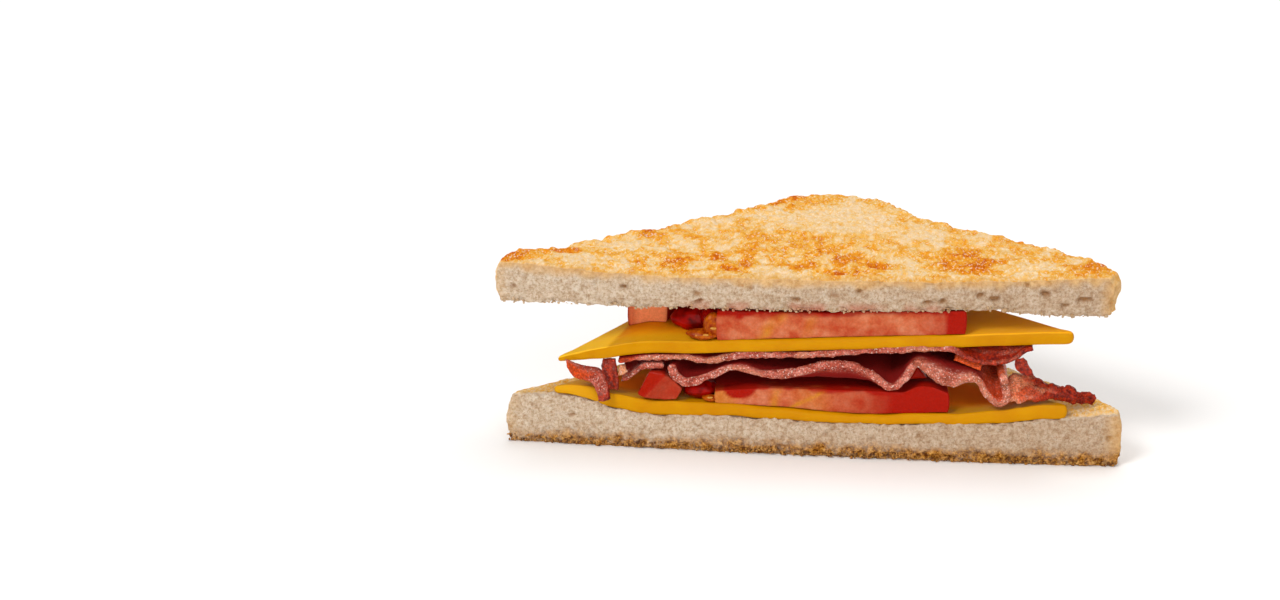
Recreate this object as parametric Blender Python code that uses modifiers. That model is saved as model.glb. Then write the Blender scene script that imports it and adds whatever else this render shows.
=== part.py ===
"""Half of a toasted bacon, cheese and tomato sandwich, cut from corner to corner.

Units are metres and +Z is up. X runs along the cut from left to right, and the cut face looks to -Y.
Shapes are worked out in millimetres from the middle of the cut, on the surface that the sandwich
stands on. The last step scales them to metres and puts the origin under the middle of the box.
"""

import math

import bmesh
import bpy
import numpy as np
from mathutils import Vector, noise

# ---------------------------------------------------------------- driving dimensions, in millimetres

MM = 0.001
GAP = 0.5  # clear space left between neighbouring layers

CUT_LEFT, CUT_RIGHT = -73.6, 76.0  # ends of the bottom slice's cut edge
LID_LEFT, LID_RIGHT = -75.6, 72.3  # ends of the top slice's cut edge
CUT_BOW = 2.2  # how far the middle of the cut face bulges out
BREAD_RIM = 1.1  # rounding along the edges of a slice
BREAD_RELIEF = 0.35  # height of the lumps on a slice

UPPER_CHEESE_THICK = 3.1
CHEESE_BOW = 1.4
CHEESE_CORNER = 2.4

TOMATO_CENTRE = -3.3  # along the cut
TOMATO_FRONT = -0.8
UPPER_TOMATO_RADIUS = 41.0
LOWER_TOMATO_RADIUS = 37.7
TOMATO_WALL = 9.5  # flesh between the skin and the seed chambers

UPPER_BACON_LEFT, UPPER_BACON_RIGHT = -45.2, 53.4
UPPER_BACON_THICK = 1.0
RUFFLED_BACON_THICK = 1.9
REAR_BACON_THICK = 1.7
CRAG_SIZE = 2.2  # width of the lumps on crisp bacon
LUMP_SEED = 5  # picks the pattern of the lumps on bread and crisp bacon

# Colours are linear RGB, each with a roughness.
MATERIALS = {
    "toast": ((0.62, 0.36, 0.13), 0.85),
    "cheese": ((0.80, 0.36, 0.01), 0.40),
    "tomato": ((0.55, 0.06, 0.02), 0.25),
    "bacon": ((0.36, 0.09, 0.06), 0.40),
    "bacon_fat": ((0.62, 0.33, 0.14), 0.35),
}

# Back edges of the slices, as (x, y) from right to left. The loaf narrows a little below its crown.
BOTTOM_BACK_EDGE = [
    (75.8, 3.6), (69.6, 11.8), (46, 35), (28, 51.5), (22, 60), (17, 67), (8, 71.5), (-2, 69.6),
    (-9.5, 62.8), (-19, 52.6), (-46, 27), (-64, 9.6), (-72.6, 2.2),
]
TOP_BACK_EDGE = [
    (72.6, 5), (67, 17), (45.5, 37.2), (28, 50.6), (21.8, 58.6), (16.5, 66.4), (9, 71.4), (1, 73), (-7, 70.2),
    (-15, 62), (-24.5, 52.4), (-46, 32.6), (-66, 15.2), (-74.2, 6.2),
]

# Heights of the layers along the cut, as (x, z).
BOTTOM_SLICE_TOP = [
    (-75, 14.3), (-57, 12.8), (-46, 9.9), (-40, 9.0), (-34, 8.6), (-28, 9.0), (-14, 9.2), (-3, 9.0),
    (4, 8.7), (14, 8.9), (23, 9.1), (32, 9.6), (46, 10.1), (53, 10.9), (60, 11.7), (76, 12.2),
]
TOP_SLICE_UNDER = [
    (-75, 35.7), (-52, 36.2), (-43, 35.9), (-30, 36.3), (0, 36.7), (34, 37.9), (45, 38.5), (54, 37.6),
    (75, 37.7),
]
TOP_SLICE_TOP = [(-75, 46.2), (-40, 44.4), (0, 44.8), (45, 45.9), (75, 47.6)]
LOWER_CHEESE_THICK = [
    (-61, 2.8), (-30, 2.8), (-16, 2.4), (3, 2.1), (14, 1.6), (23, 1.9), (33, 2.1), (46, 2.5), (54, 2.8),
    (63, 2.8),
]
UPPER_CHEESE_TOP = [(-61, 22.8), (-48, 25.4), (-40, 27.0), (-30, 27.6), (0, 29.6), (34, 31.9), (64, 33.6)]

# The ruffled strip's turns along the cut, as (x, z of its front edge, rise of the fold just behind it).
RUFFLE = [
    (-32.4, 21.9, 0), (-31.3, 19.2, 0), (-28.2, 17.5, 0), (-22.6, 19.6, 0), (-17.0, 21.8, 0),
    (-10.5, 20.4, 0), (-3.5, 21.0, -1.0), (3.4, 23.4, -3.2), (11.0, 24.2, -4.2), (15.6, 21.9, -2.0),
    (20.4, 18.2, 0),
    (23.6, 20.4, 0.5), (26.4, 24.6, 0.2), (30.0, 21.2, 3.0), (34.6, 19.1, 3.4), (40.2, 21.3, 0.2),
    (43.0, 17.7, 0), (45.8, 15.1, 0), (47.8, 17.0, 0), (46.4, 23.2, 0),
]


# ---------------------------------------------------------------- curves and surfaces


def profile(points):
    """A smooth curve through (x, z) points, as a function of x."""
    xs, zs = (np.array(column, float) for column in zip(*points))
    slopes = np.gradient(zs, xs)

    def at(x):
        x = min(max(x, xs[0]), xs[-1])
        i = min(max(int(np.searchsorted(xs, x)) - 1, 0), len(xs) - 2)
        width = xs[i + 1] - xs[i]
        t = (x - xs[i]) / width
        return float(
            (2 * t**3 - 3 * t**2 + 1) * zs[i]
            + (t**3 - 2 * t**2 + t) * width * slopes[i]
            + (3 * t**2 - 2 * t**3) * zs[i + 1]
            + (t**3 - t**2) * width * slopes[i + 1]
        )

    return at


def smoothstep(low, high, value):
    t = min(max((value - low) / (high - low), 0.0), 1.0)
    return t * t * (3 - 2 * t)


def mix(a, b, t):
    return a + (b - a) * t


def smooth_path(points, count):
    """count points spread evenly along a Catmull-Rom curve through the given ones."""
    first, last = np.array(points[0], float), np.array(points[-1], float)
    p = [2 * first - points[1], *(np.array(point, float) for point in points), 2 * last - points[-2]]
    fine = []
    for a, b, c, d in zip(p, p[1:], p[2:], p[3:]):
        for t in np.linspace(0, 1, 12, endpoint=False):
            bend = (2 * a - 5 * b + 4 * c - d) * t**2 + (3 * b - a - 3 * c + d) * t**3
            fine.append(0.5 * (2 * b + (c - a) * t + bend))
    fine = np.array([*fine, last])
    along = np.concatenate([[0], np.cumsum(np.linalg.norm(np.diff(fine, axis=0), axis=1))])
    steps = np.linspace(0, along[-1], count)
    return np.stack([np.interp(steps, along, fine[:, k]) for k in range(fine.shape[1])], axis=1)


bottom_slice_top = profile(BOTTOM_SLICE_TOP)
top_slice_under = profile(TOP_SLICE_UNDER)
top_slice_top = profile(TOP_SLICE_TOP)
lower_cheese_thick = profile(LOWER_CHEESE_THICK)
upper_cheese_top = profile(UPPER_CHEESE_TOP)


def bread_bottom_top(x, y):
    """Upper face of the bottom slice: pressed thin under the filling, fuller round it."""
    pressed = mix(bottom_slice_top(x), 10.5, smoothstep(4, 30, y))
    inside = min(74 + x - y, 82 - x - y) / math.sqrt(2)
    rim = mix(12.2, 13.2, smoothstep(-60, -10, x))
    return mix(rim, pressed, smoothstep(4, 13, inside))


def cheese_lower_under(x, y):
    return bread_bottom_top(x, y) + GAP


def cheese_lower_top(x, y):
    return cheese_lower_under(x, y) + lower_cheese_thick(x)


def cheese_upper_top(x, y):
    """The upper cheese is flat, except that its left corner folds down to the cut."""
    rise = 1.7 * (1 - smoothstep(-26, 5, x)) * smoothstep(-2, 12, y)
    flat = upper_cheese_top(x) + rise
    folded = 25.4 + 0.28 * (x + 48) + 0.075 * (y + 1.2)
    return min(flat, folded)


def cheese_upper_under(x, y):
    return cheese_upper_top(x, y) - mix(1.3, UPPER_CHEESE_THICK, smoothstep(-62, -46, x))


def bread_top_under(x, y):
    return mix(top_slice_under(x), 36.6 + 0.01 * x, smoothstep(6, 30, y))


def bread_top_upper(x, y):
    return mix(top_slice_top(x), 45.4 + 0.012 * x, smoothstep(3, 30, y))


# ---------------------------------------------------------------- outlines seen from above


def arc(centre, radius, start, end, steps=24):
    """Points on a circle, with both ends, angles in degrees."""
    angles = np.radians(np.linspace(start, end, steps))
    return [(centre[0] + radius * math.cos(a), centre[1] + radius * math.sin(a)) for a in angles]


def closed_outline(chains, spacing):
    """A loop made of chains of points, each respaced evenly so that the corners between them stay."""
    loop = []
    for chain in chains:
        length = sum(math.dist(a, b) for a, b in zip(chain, chain[1:]))
        loop += smooth_path(chain, max(2, int(round(length / spacing)) + 1))[:-1].tolist()
    return loop


def bread_outline(left, right, back_edge, spacing):
    half = (right - left) / 2
    middle = (right + left) / 2
    cut = [(x, -CUT_BOW * (1 - ((x - middle) / half) ** 2)) for x in np.linspace(left, right, 31)]
    cut[0] = (left + 0.8, cut[0][1])
    cut[-1] = (right - 0.8, cut[-1][1])
    return closed_outline([cut, [cut[-1], (right, 0.9), *back_edge, (left, 0.9), cut[0]]], spacing)


def cheese_outline(left, right, apex, spacing):
    """A square slice cut across: two legs that meet at a round corner, and a slightly bulging cut."""
    half, middle = (right - left) / 2, (right + left) / 2
    cut = [(x, -CHEESE_BOW * (1 - ((x - middle) / half) ** 2)) for x in np.linspace(left, right, 25)]
    corner = arc((apex[0], apex[1] - CHEESE_CORNER), CHEESE_CORNER, 45, 135, 5)
    legs = [(right, 0), *corner, (left, 0)]
    chains = [cut[1:-1]]
    chains.append([cut[-2], (right, 0.5), mix(np.array(legs[0]), np.array(legs[1]), 0.04)])
    chains.append([chains[-1][-1], legs[1]])
    chains.append(legs[1:-1])
    chains.append([legs[-2], mix(np.array(legs[-1]), np.array(legs[-2]), 0.04)])
    chains.append([chains[-1][-1], (left, 0.5), cut[1]])
    return closed_outline(chains, spacing)


def tomato_outline(radius, left_end, chamber_depth, spacing):
    """A slice's flesh, from the skin on its right to the wall of the seed chamber on its left."""
    centre = (TOMATO_CENTRE, TOMATO_FRONT)
    cut = [(left_end, TOMATO_FRONT), (centre[0] + radius, TOMATO_FRONT)]
    skin = arc(centre, radius, 0, 138)
    chamber = [
        skin[-1],
        (left_end - 4, TOMATO_FRONT + chamber_depth * 0.7),
        (left_end - 1, TOMATO_FRONT + chamber_depth * 0.3),
        cut[0],
    ]
    return closed_outline([cut, skin, chamber], spacing)


# ---------------------------------------------------------------- building


def clear_scene():
    for obj in list(bpy.data.objects):
        bpy.data.objects.remove(obj)


def material(name):
    colour, roughness = MATERIALS[name]
    made = bpy.data.materials.get(name) or bpy.data.materials.new(name)
    made.use_nodes = True
    shader = made.node_tree.nodes["Principled BSDF"]
    shader.inputs["Base Color"].default_value = (*colour, 1.0)
    shader.inputs["Roughness"].default_value = roughness
    shader.inputs["Metallic"].default_value = 0.0
    return made


def add_object(name, bm, finish, collection):
    bmesh.ops.recalc_face_normals(bm, faces=bm.faces)
    mesh = bpy.data.meshes.new(name)
    bm.to_mesh(mesh)
    bm.free()
    mesh.shade_smooth()
    mesh.set_sharp_from_angle(angle=math.radians(50))
    mesh.materials.append(material(finish))
    obj = bpy.data.objects.new(name, mesh)
    collection.objects.link(obj)
    return obj


def scaled(outline, centre, factor, inset):
    """The outline drawn in towards a centre, by a factor and then by a distance."""
    rows = []
    for x, y in outline:
        away = Vector((x - centre[0], y - centre[1])) * factor
        away -= away.normalized() * inset
        rows.append((centre[0] + away.x, centre[1] + away.y))
    return rows


def layer(outline, low, high, rim, under_rings, top_rings, side_relief=0.0, top_relief=0.0):
    """A flat piece lofted from its under face to its upper face, as rings about its middle.

    low and high give the height of each face over a point, rim is the rounding of its edge, and
    the reliefs are how far lumps move its sides and its upper face.
    """
    centre = tuple(np.mean(outline, axis=0))
    rows = [(factor, 0.0, 0.0) for factor in under_rings]
    rows += [(1.0, 0.9 * rim, 0.0), (1.0, 0.0, 0.25), (1.0, -0.2 * rim, 0.5), (1.0, 0.0, 0.75)]
    rows += [(1.0, 0.9 * rim, 1.0)]
    rows += [(factor, 0.0, 1.0) for factor in reversed(top_rings)]
    bm = bmesh.new()

    def vertex(x, y, share):
        z = mix(low(x, y), high(x, y), share)
        lump = noise.noise_vector(Vector((x, y, z)) * 0.11)
        if share == 1:
            return bm.verts.new((x, y, z + lump.z * top_relief))
        if share == 0:
            return bm.verts.new((x, y, z))
        return bm.verts.new((x + lump.x * side_relief, y + lump.y * side_relief, z))

    loops = []
    for factor, inset, share in rows:
        loops.append([vertex(x, y, share) for x, y in scaled(outline, centre, factor, inset)])
    for below, above in zip(loops, loops[1:]):
        for i in range(len(outline)):
            j = (i + 1) % len(outline)
            bm.faces.new((below[i], below[j], above[j], above[i]))
    for loop, share in ((loops[0], 0.0), (loops[-1], 1.0)):
        hub = vertex(*centre, share)
        for i in range(len(outline)):
            bm.faces.new((loop[i], loop[(i + 1) % len(outline)], hub))
    return bm


def add_ribbon(name, edges, shares, along, thick, collection, lumps=0.0, finish="bacon"):
    """A strip of bacon lofted across its width through edge curves, and given its thickness.

    edges are curves of (x, y, z) points that run the length of the strip, and shares says how many
    rows of faces lie between each curve and the next. lumps is how far crisp crags move its points.
    """
    curves = [smooth_path(edge, along) for edge in edges]
    rows = [curves[0]]
    for a, b, steps in zip(curves, curves[1:], shares):
        rows += [mix(a, b, step / steps) for step in range(1, steps + 1)]
    bm = bmesh.new()
    grid = []
    for row in rows:
        craggy = [Vector(point) + noise.noise_vector(Vector(point) / CRAG_SIZE) * lumps for point in row]
        grid.append([bm.verts.new(point) for point in craggy])
    for near, far in zip(grid, grid[1:]):
        for i in range(along - 1):
            bm.faces.new((near[i], near[i + 1], far[i + 1], far[i]))
    obj = add_object(name, bm, finish, collection)
    solid = obj.modifiers.new("thickness", "SOLIDIFY")
    solid.thickness = thick
    solid.offset = 0


# ---------------------------------------------------------------- the pieces


def add_bread(collection):
    bottom = bread_outline(CUT_LEFT, CUT_RIGHT, BOTTOM_BACK_EDGE, 4.6)
    top = bread_outline(LID_LEFT, LID_RIGHT, TOP_BACK_EDGE, 4.6)
    fine = (0.3, 0.5, 0.66, 0.78, 0.88, 0.95)
    base = layer(bottom, lambda x, y: 0.0, bread_bottom_top, BREAD_RIM, (0.5,), fine, BREAD_RELIEF)
    under, upper = (0.45, 0.75, 0.93), (0.3, 0.56, 0.78, 0.93)
    lid = layer(top, bread_top_under, bread_top_upper, BREAD_RIM, under, upper, BREAD_RELIEF, BREAD_RELIEF)
    add_object("bread_bottom", base, "toast", collection)
    add_object("bread_top", lid, "toast", collection)


def add_cheese(collection):
    rings = (0.3, 0.55, 0.76, 0.91)
    lower = cheese_outline(-61.2, 62.4, (0.6, 61.8), 5.0)
    upper = cheese_outline(-60.2, 62.9, (4.8, 59.6), 5.0)
    for name, outline, under, top in (
        ("cheese_lower", lower, cheese_lower_under, cheese_lower_top),
        ("cheese_upper", upper, cheese_upper_under, cheese_upper_top),
    ):
        add_object(name, layer(outline, under, top, 1.0, rings, rings), "cheese", collection)


def upper_tomato_under(x, y):
    return cheese_upper_top(x, y) + GAP


def upper_tomato_top(x, y):
    return bread_top_under(x, y) - GAP - 0.5 * (1 - smoothstep(0, 20, x))


def lower_tomato_under(x, y):
    return cheese_lower_top(x, y) + GAP


def lower_tomato_top(x, y):
    """The upper face bulges near its right end, between two folds of bacon."""
    bulge = 1.7 * (smoothstep(23, 28, x) - smoothstep(29, 35, x)) * (1 - smoothstep(2, 12, y))
    return 16.7 + 0.012 * x - 0.9 * (1 - smoothstep(-22, -8, x)) + bulge


def add_tomatoes(collection):
    rings = (0.45, 0.85)
    upper = tomato_outline(UPPER_TOMATO_RADIUS, -21.5, 30, 4.6)
    lower = tomato_outline(LOWER_TOMATO_RADIUS, -21.8, 28, 4.6)
    wall_centre = (TOMATO_CENTRE - 1.3, TOMATO_FRONT)
    outer = arc(wall_centre, UPPER_TOMATO_RADIUS, 165, 144, 8)
    inner = arc(wall_centre, UPPER_TOMATO_RADIUS - TOMATO_WALL, 144, 162, 8)
    wall = closed_outline([outer, [outer[-1], inner[0]], inner, [inner[-1], outer[0]]], 3.2)
    for name, outline, under, top, loops in (
        ("tomato_upper", upper, upper_tomato_under, upper_tomato_top, rings),
        ("tomato_upper_wall", wall, upper_tomato_under, upper_tomato_top, (0.6,)),
        ("tomato_lower", lower, lower_tomato_under, lower_tomato_top, rings),
    ):
        add_object(name, layer(outline, under, top, 0.6, loops, loops), "tomato", collection)


def add_tomato_wedge(collection):
    """A tilted chunk of the lower slice's outer wall: its cut end extruded back from the cut."""
    face = [
        (-40.6, 13.9), (-37.6, 19.7), (-34.4, 19.8), (-32.1, 18.2), (-29.6, 15.5), (-31.0, 12.8),
        (-34.0, 12.5), (-37.4, 12.9),
    ]
    add_chunk("tomato_lower_wedge", face, -0.9, 12.5, 0.4, collection)


def add_tomato_scrap(collection):
    """A scrap of tomato that stands up under a turn of the ruffled bacon."""
    add_chunk("tomato_lower_scrap", [(24.9, 19.2), (26.4, 22.5), (29.0, 19.5)], 2.6, 8.0, 0.25, collection)


def add_chunk(name, face, front, back, rounding, collection):
    """An (x, z) outline with round corners, drawn from y = front to y = back, where it's a little smaller."""
    middle = np.mean(face, axis=0)
    outline = []
    for before, corner, after in zip([face[-1], *face], face, [*face[1:], face[0]]):
        corner = np.array(corner)
        sides = [rounding * (side - corner) / math.dist(side, corner) for side in (before, after)]
        outline += [corner + sides[0], corner + 0.25 * (sides[0] + sides[1]), corner + sides[1]]
    outline = np.array(outline)
    away = (outline - middle) / np.linalg.norm(outline - middle, axis=1, keepdims=True)
    edge = ((rounding, 0.0), (0.3 * rounding, 0.3 * rounding), (0.0, rounding))
    rings = [(1.0, inset, front + depth) for inset, depth in edge]
    rings += [(0.75, inset, back - depth) for inset, depth in edge[::-1]]
    bm = bmesh.new()
    loops = []
    for share, inset, y in rings:
        flat = middle + (outline - middle) * share - away * inset
        loops.append([bm.verts.new((x, y, z)) for x, z in flat])
    for near, far in zip(loops, loops[1:]):
        for i in range(len(outline)):
            bm.faces.new((near[i - 1], near[i], far[i], far[i - 1]))
    for loop, y in ((loops[0], front), (loops[-1], back)):
        hub = bm.verts.new((middle[0], y, middle[1]))
        for i in range(len(outline)):
            bm.faces.new((loop[i - 1], loop[i], hub))
    add_object(name, bm, "tomato", collection)


upper_bacon_sag = profile([
    (-47, 0.3), (-40, 0.4), (-34, 0.3), (-29, 0.4), (-23, 1.5), (-19, 0.6), (-15, 0.2), (-8, 0.4), (3, 0.4),
    (12, 0), (54, 0),
])
upper_bacon_flap = profile([
    (30, 0), (35, 0.3), (38, 2.1), (41, 3.4), (47, 3.4), (49.5, 2.4), (51.5, 0.6), (54, 0),
])
upper_bacon_reach = profile([(-47, 10), (-30, 27), (0, 34), (30, 27), (54, 9)])
ruffled_bacon_reach = profile([(-33, 22), (-20, 30), (0, 34), (25, 30), (40, 20), (49, 14)])


def upper_bacon_height(x, y, share):
    """Height of the upper strip's middle: just under the cheese, with one dip and a flap near its end.

    share is how far back across the strip the point is, from 0 to 1.
    """
    ceiling = cheese_upper_under(x, y) - GAP - UPPER_BACON_THICK / 2
    flap = upper_bacon_flap(x) * (1 - smoothstep(0, 0.3, share))
    return ceiling - flap - upper_bacon_sag(x) * (1 - 0.5 * share)


def ruffled_bacon_height(x, y, share, front):
    """Height of the ruffled strip's middle: its waves close up to the upper strip towards the back."""
    back = upper_bacon_height(x, y, 1) - (UPPER_BACON_THICK + RUFFLED_BACON_THICK) / 2 - GAP
    return mix(front, back, share)


def add_upper_bacon(collection):
    rows = []
    for share in (0.0, 0.12, 0.5, 1.0):
        row = []
        for x in np.linspace(UPPER_BACON_LEFT, UPPER_BACON_RIGHT, 45):
            y = mix(-1.3, upper_bacon_reach(x), share)
            row.append((x, y, upper_bacon_height(x, y, share)))
        rows.append(row)
    add_ribbon("bacon_upper", rows, (1, 2, 2), 42, UPPER_BACON_THICK, collection)


def add_ruffled_bacon(collection):
    """The ruffled strip in the middle, with tight waves at the cut."""
    rows = []
    for share, lift in ((0.0, 0.0), (0.08, 1.0), (0.5, 0.4), (1.0, 0.0)):
        row = []
        for x, z, rise in RUFFLE:
            y = mix(-1.6, ruffled_bacon_reach(x), share)
            row.append((x * (1 - 0.05 * share), y, ruffled_bacon_height(x, y, share, z + rise * lift)))
        rows.append(row)
    add_ribbon("bacon_ruffled", rows, (1, 1, 2), 78, RUFFLED_BACON_THICK, collection)


def add_small_bacon(collection):
    """The short pieces at both ends of the cut. Each is a name, its edge curves from front to back, the
    rows of faces between them, the faces along it, its thickness, its lumps and its finish."""
    pieces = (
        ("bacon_crisp_end", [
            [(49.0, -0.9, 16.0), (52.2, -0.6, 15.7), (58.2, 1.0, 16.3), (64.2, 3.4, 15.1), (69.0, 5.0, 14.8)],
            [(49.2, 1.8, 19.4), (52.6, 2.0, 18.4), (58.6, 2.8, 17.5), (64.2, 4.8, 15.7), (69.2, 6.2, 14.9)],
            [(49.0, 4.0, 21.8), (52.6, 4.2, 20.6), (58.6, 4.4, 18.8), (64.0, 6.4, 16.1), (68.6, 7.4, 15.1)],
        ], (2, 2), 28, 2.2, 0.8, "bacon"),
        ("bacon_crisp_tab", [
            [(49.2, -2.9, 27.0), (49.3, -2.9, 25.4), (50.3, -2.9, 24.1), (51.8, -2.9, 23.2)],
            [(51.2, -2.8, 27.9), (52.2, -2.8, 26.6), (53.1, -2.8, 25.2), (53.7, -2.8, 23.6)],
        ], (2,), 9, 1.2, 0.35, "bacon"),
        ("bacon_fat_sliver", [
            [(35.0, 0.7, 25.2), (38.0, 0.3, 24.2), (41.4, 0.1, 22.9)],
            [(35.4, 1.7, 26.3), (38.6, 1.3, 25.4), (41.8, 1.1, 24.3)],
        ], (2,), 7, 0.8, 0.0, "bacon_fat"),
        ("bacon_left_curl", [
            [
                (-57.4, -2.5, 20.6), (-55.6, -2.6, 18.1), (-51.6, -2.6, 16.9),
                (-50.2, -2.6, 14.4), (-49.8, -2.7, 12.2),
            ],
            [
                (-57.7, -2.3, 22.0), (-54.6, -1.7, 19.6), (-50.6, -1.4, 18.2),
                (-48.8, -1.9, 15.4), (-48.4, -2.5, 12.2),
            ],
            [
                (-57.9, -2.2, 22.6), (-54.2, -0.8, 20.7), (-49.6, -0.2, 19.6),
                (-47.6, -1.3, 16.1), (-46.9, -2.4, 12.8),
            ],
        ], (1, 1), 20, 1.3, 0.0, "bacon"),
        ("bacon_left_tuck", [
            [(-49.6, 1.5, 15.0), (-49.4, 1.4, 17.5), (-49.4, 1.6, 19.6), (-49.3, 1.7, 21.8)],
            [(-47.3, 0.8, 14.3), (-47.2, 0.7, 17.2), (-47.4, 0.8, 19.8), (-47.4, 1.0, 22.1)],
            [(-45.3, 0.0, 14.4), (-45.2, -0.1, 17.4), (-45.6, 0.1, 19.8), (-46.1, 0.4, 22.2)],
        ], (1, 1), 12, 0.9, 0.2, "bacon"),
        ("bacon_left_fold", [
            [
                (-44.5, 0.9, 16.3), (-42.4, 0.7, 17.4), (-40.4, 0.1, 19.5),
                (-38.4, -0.6, 20.9), (-34.2, -0.7, 21.2),
            ],
            [
                (-44.4, 5.0, 18.9), (-42.2, 4.8, 19.6), (-40.4, 4.1, 20.4),
                (-38.4, 3.3, 21.1), (-34.4, 3.0, 21.6),
            ],
            [
                (-44.2, 11.0, 20.3), (-42.0, 11.6, 20.5), (-40.2, 11.6, 20.7),
                (-38.2, 11.6, 21.1), (-34.6, 11.6, 21.4),
            ],
        ], (1, 2), 16, 1.4, 0.0, "bacon"),
        ("bacon_fat_end", [
            [(-44.9, -1.3, 18.7), (-44.0, -1.4, 19.0), (-42.9, -1.3, 19.8)],
            [(-45.0, -0.6, 19.8), (-44.1, -0.5, 20.0), (-43.3, -0.5, 20.2)],
            [(-45.0, 0.2, 20.7), (-44.2, 0.3, 20.8), (-43.6, 0.3, 20.8)],
        ], (1, 1), 5, 0.9, 0.0, "bacon_fat"),
    )
    for name, edges, shares, along, thick, lumps, finish in pieces:
        add_ribbon(name, edges, shares, along, thick, collection, lumps, finish)


def add_rear_bacon(collection):
    """A ruffled strip behind the tomatoes, which shows between the slices from the back."""
    edges = []
    for y, half in ((40.5, 25), (47, 19), (53, 13)):
        row = []
        for x in np.linspace(-half, half, 25):
            row.append((x, y + 0.6 * math.sin(x * 0.5), 19.8 + 0.04 * x + 3.0 * math.sin(x * 0.42 + 0.8)))
        edges.append(row)
    add_ribbon("bacon_rear", edges, (2, 2), 36, REAR_BACON_THICK, collection)


def centre_on_base(collection):
    """Scales the pieces from millimetres to metres, with the origin under the middle of their box."""
    bpy.context.view_layer.update()
    graph = bpy.context.evaluated_depsgraph_get()
    corners = np.array([
        obj.matrix_world @ Vector(corner)
        for obj in collection.objects
        for corner in obj.evaluated_get(graph).bound_box
    ])
    low, high = corners.min(axis=0), corners.max(axis=0)
    shift = Vector((-(low[0] + high[0]) / 2, -(low[1] + high[1]) / 2, -low[2]))
    for obj in collection.objects:
        for v in obj.data.vertices:
            v.co = (v.co + shift) * MM
        for modifier in obj.modifiers:
            modifier.thickness *= MM


def main():
    clear_scene()
    noise.seed_set(LUMP_SEED)
    collection = bpy.data.collections.new("toasted_bacon_sandwich_half")
    bpy.context.scene.collection.children.link(collection)
    add_bread(collection)
    add_cheese(collection)
    add_tomatoes(collection)
    add_tomato_wedge(collection)
    add_tomato_scrap(collection)
    add_upper_bacon(collection)
    add_ruffled_bacon(collection)
    add_small_bacon(collection)
    add_rear_bacon(collection)
    centre_on_base(collection)


main()
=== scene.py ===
"""The looks of half a toasted bacon, cheese and tomato sandwich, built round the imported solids.

Shapes are worked out in millimetres from the middle of the cut, as part.py does, and moved into the
part's frame as each piece is made. Heights, outlines and the bacon's edge curves repeat part.py's.
"""

import itertools
import math
from collections import namedtuple

import bmesh
import bpy
import numpy as np
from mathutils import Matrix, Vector
from mathutils.noise import noise_vector, seed_set


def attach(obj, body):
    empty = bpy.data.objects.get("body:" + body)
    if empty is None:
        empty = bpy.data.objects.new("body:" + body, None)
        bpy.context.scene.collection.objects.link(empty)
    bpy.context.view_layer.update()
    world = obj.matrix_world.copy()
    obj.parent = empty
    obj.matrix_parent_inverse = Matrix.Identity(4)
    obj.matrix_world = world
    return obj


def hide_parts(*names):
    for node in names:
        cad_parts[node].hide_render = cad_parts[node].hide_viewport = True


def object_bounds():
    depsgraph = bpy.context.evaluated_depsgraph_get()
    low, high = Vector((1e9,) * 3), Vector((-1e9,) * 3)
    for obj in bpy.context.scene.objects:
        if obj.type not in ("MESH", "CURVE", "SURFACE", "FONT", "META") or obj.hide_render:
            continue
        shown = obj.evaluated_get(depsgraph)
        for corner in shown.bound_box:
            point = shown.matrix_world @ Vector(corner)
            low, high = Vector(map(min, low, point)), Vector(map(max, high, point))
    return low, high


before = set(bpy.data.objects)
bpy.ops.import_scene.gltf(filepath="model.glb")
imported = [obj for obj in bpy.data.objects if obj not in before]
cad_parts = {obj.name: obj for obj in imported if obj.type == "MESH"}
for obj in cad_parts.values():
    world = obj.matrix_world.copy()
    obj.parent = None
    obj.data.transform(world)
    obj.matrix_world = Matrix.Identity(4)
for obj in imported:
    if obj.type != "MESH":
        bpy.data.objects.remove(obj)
CAD_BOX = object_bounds()

MM = 0.001
ORIGIN = np.array([0.145, 34.793, 0])  # the part's origin, in the working millimetres
GAP = 0.5

# ---- the solids' own dimensions

CUT_LEFT, CUT_RIGHT = -73.6, 76.0
LID_LEFT, LID_RIGHT = -75.6, 72.3
FOOT_CORNERS = (-74, 82)  # where a slice's back edges would meet the line of the cut
LID_CORNERS = (-77.5, 84)
UPPER_CHEESE_THICK = 3.1
CUT_BOW, CHEESE_BOW = 2.2, 1.4
CHEESE_CORNER = 2.4
TOMATO_CENTRE = -3.3
TOMATO_FRONT = -0.8
UPPER_TOMATO_RADIUS = 41.0
LOWER_TOMATO_RADIUS = 37.7
TOMATO_WALL = 9.5
UPPER_BACON_LEFT, UPPER_BACON_RIGHT = -45.2, 53.4
UPPER_BACON_THICK = 1.0
RUFFLED_BACON_THICK = 1.9
REAR_BACON_THICK = 1.7
CRAG_SIZE = 2.2
LUMP_SEED = 5

RUFFLE = [
    (-32.4, 21.9, 0), (-31.3, 19.2, 0), (-28.2, 17.5, 0), (-22.6, 19.6, 0), (-17, 21.8, 0), (-10.5, 20.4, 0),
    (-3.5, 21, -1), (3.4, 23.4, -3.2), (11, 24.2, -4.2), (15.6, 21.9, -2), (20.4, 18.2, 0),
    (23.6, 20.4, 0.5), (26.4, 24.6, 0.2), (30, 21.2, 3), (34.6, 19.1, 3.4), (40.2, 21.3, 0.2),
    (43, 17.7, 0), (45.8, 15.1, 0), (47.8, 17, 0), (46.4, 23.2, 0),
]

# ---- how fine the finish is

TOP_VOXEL, BOTTOM_VOXEL, CHUNK_VOXEL = 0.42, 0.44, 0.28
CHEESE_STEP, TOMATO_STEP = 0.7, 0.6  # between the points of an outline or along a strip
RASHER_STEP, SMALL_STEP, REAR_STEP = 0.36, 0.25, 0.45
TOP_CRUMBS, FOOT_CRUMBS = 520, 620

# ---- curves and noise


def mix(a, b, t):
    return a + (b - a) * t


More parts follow.
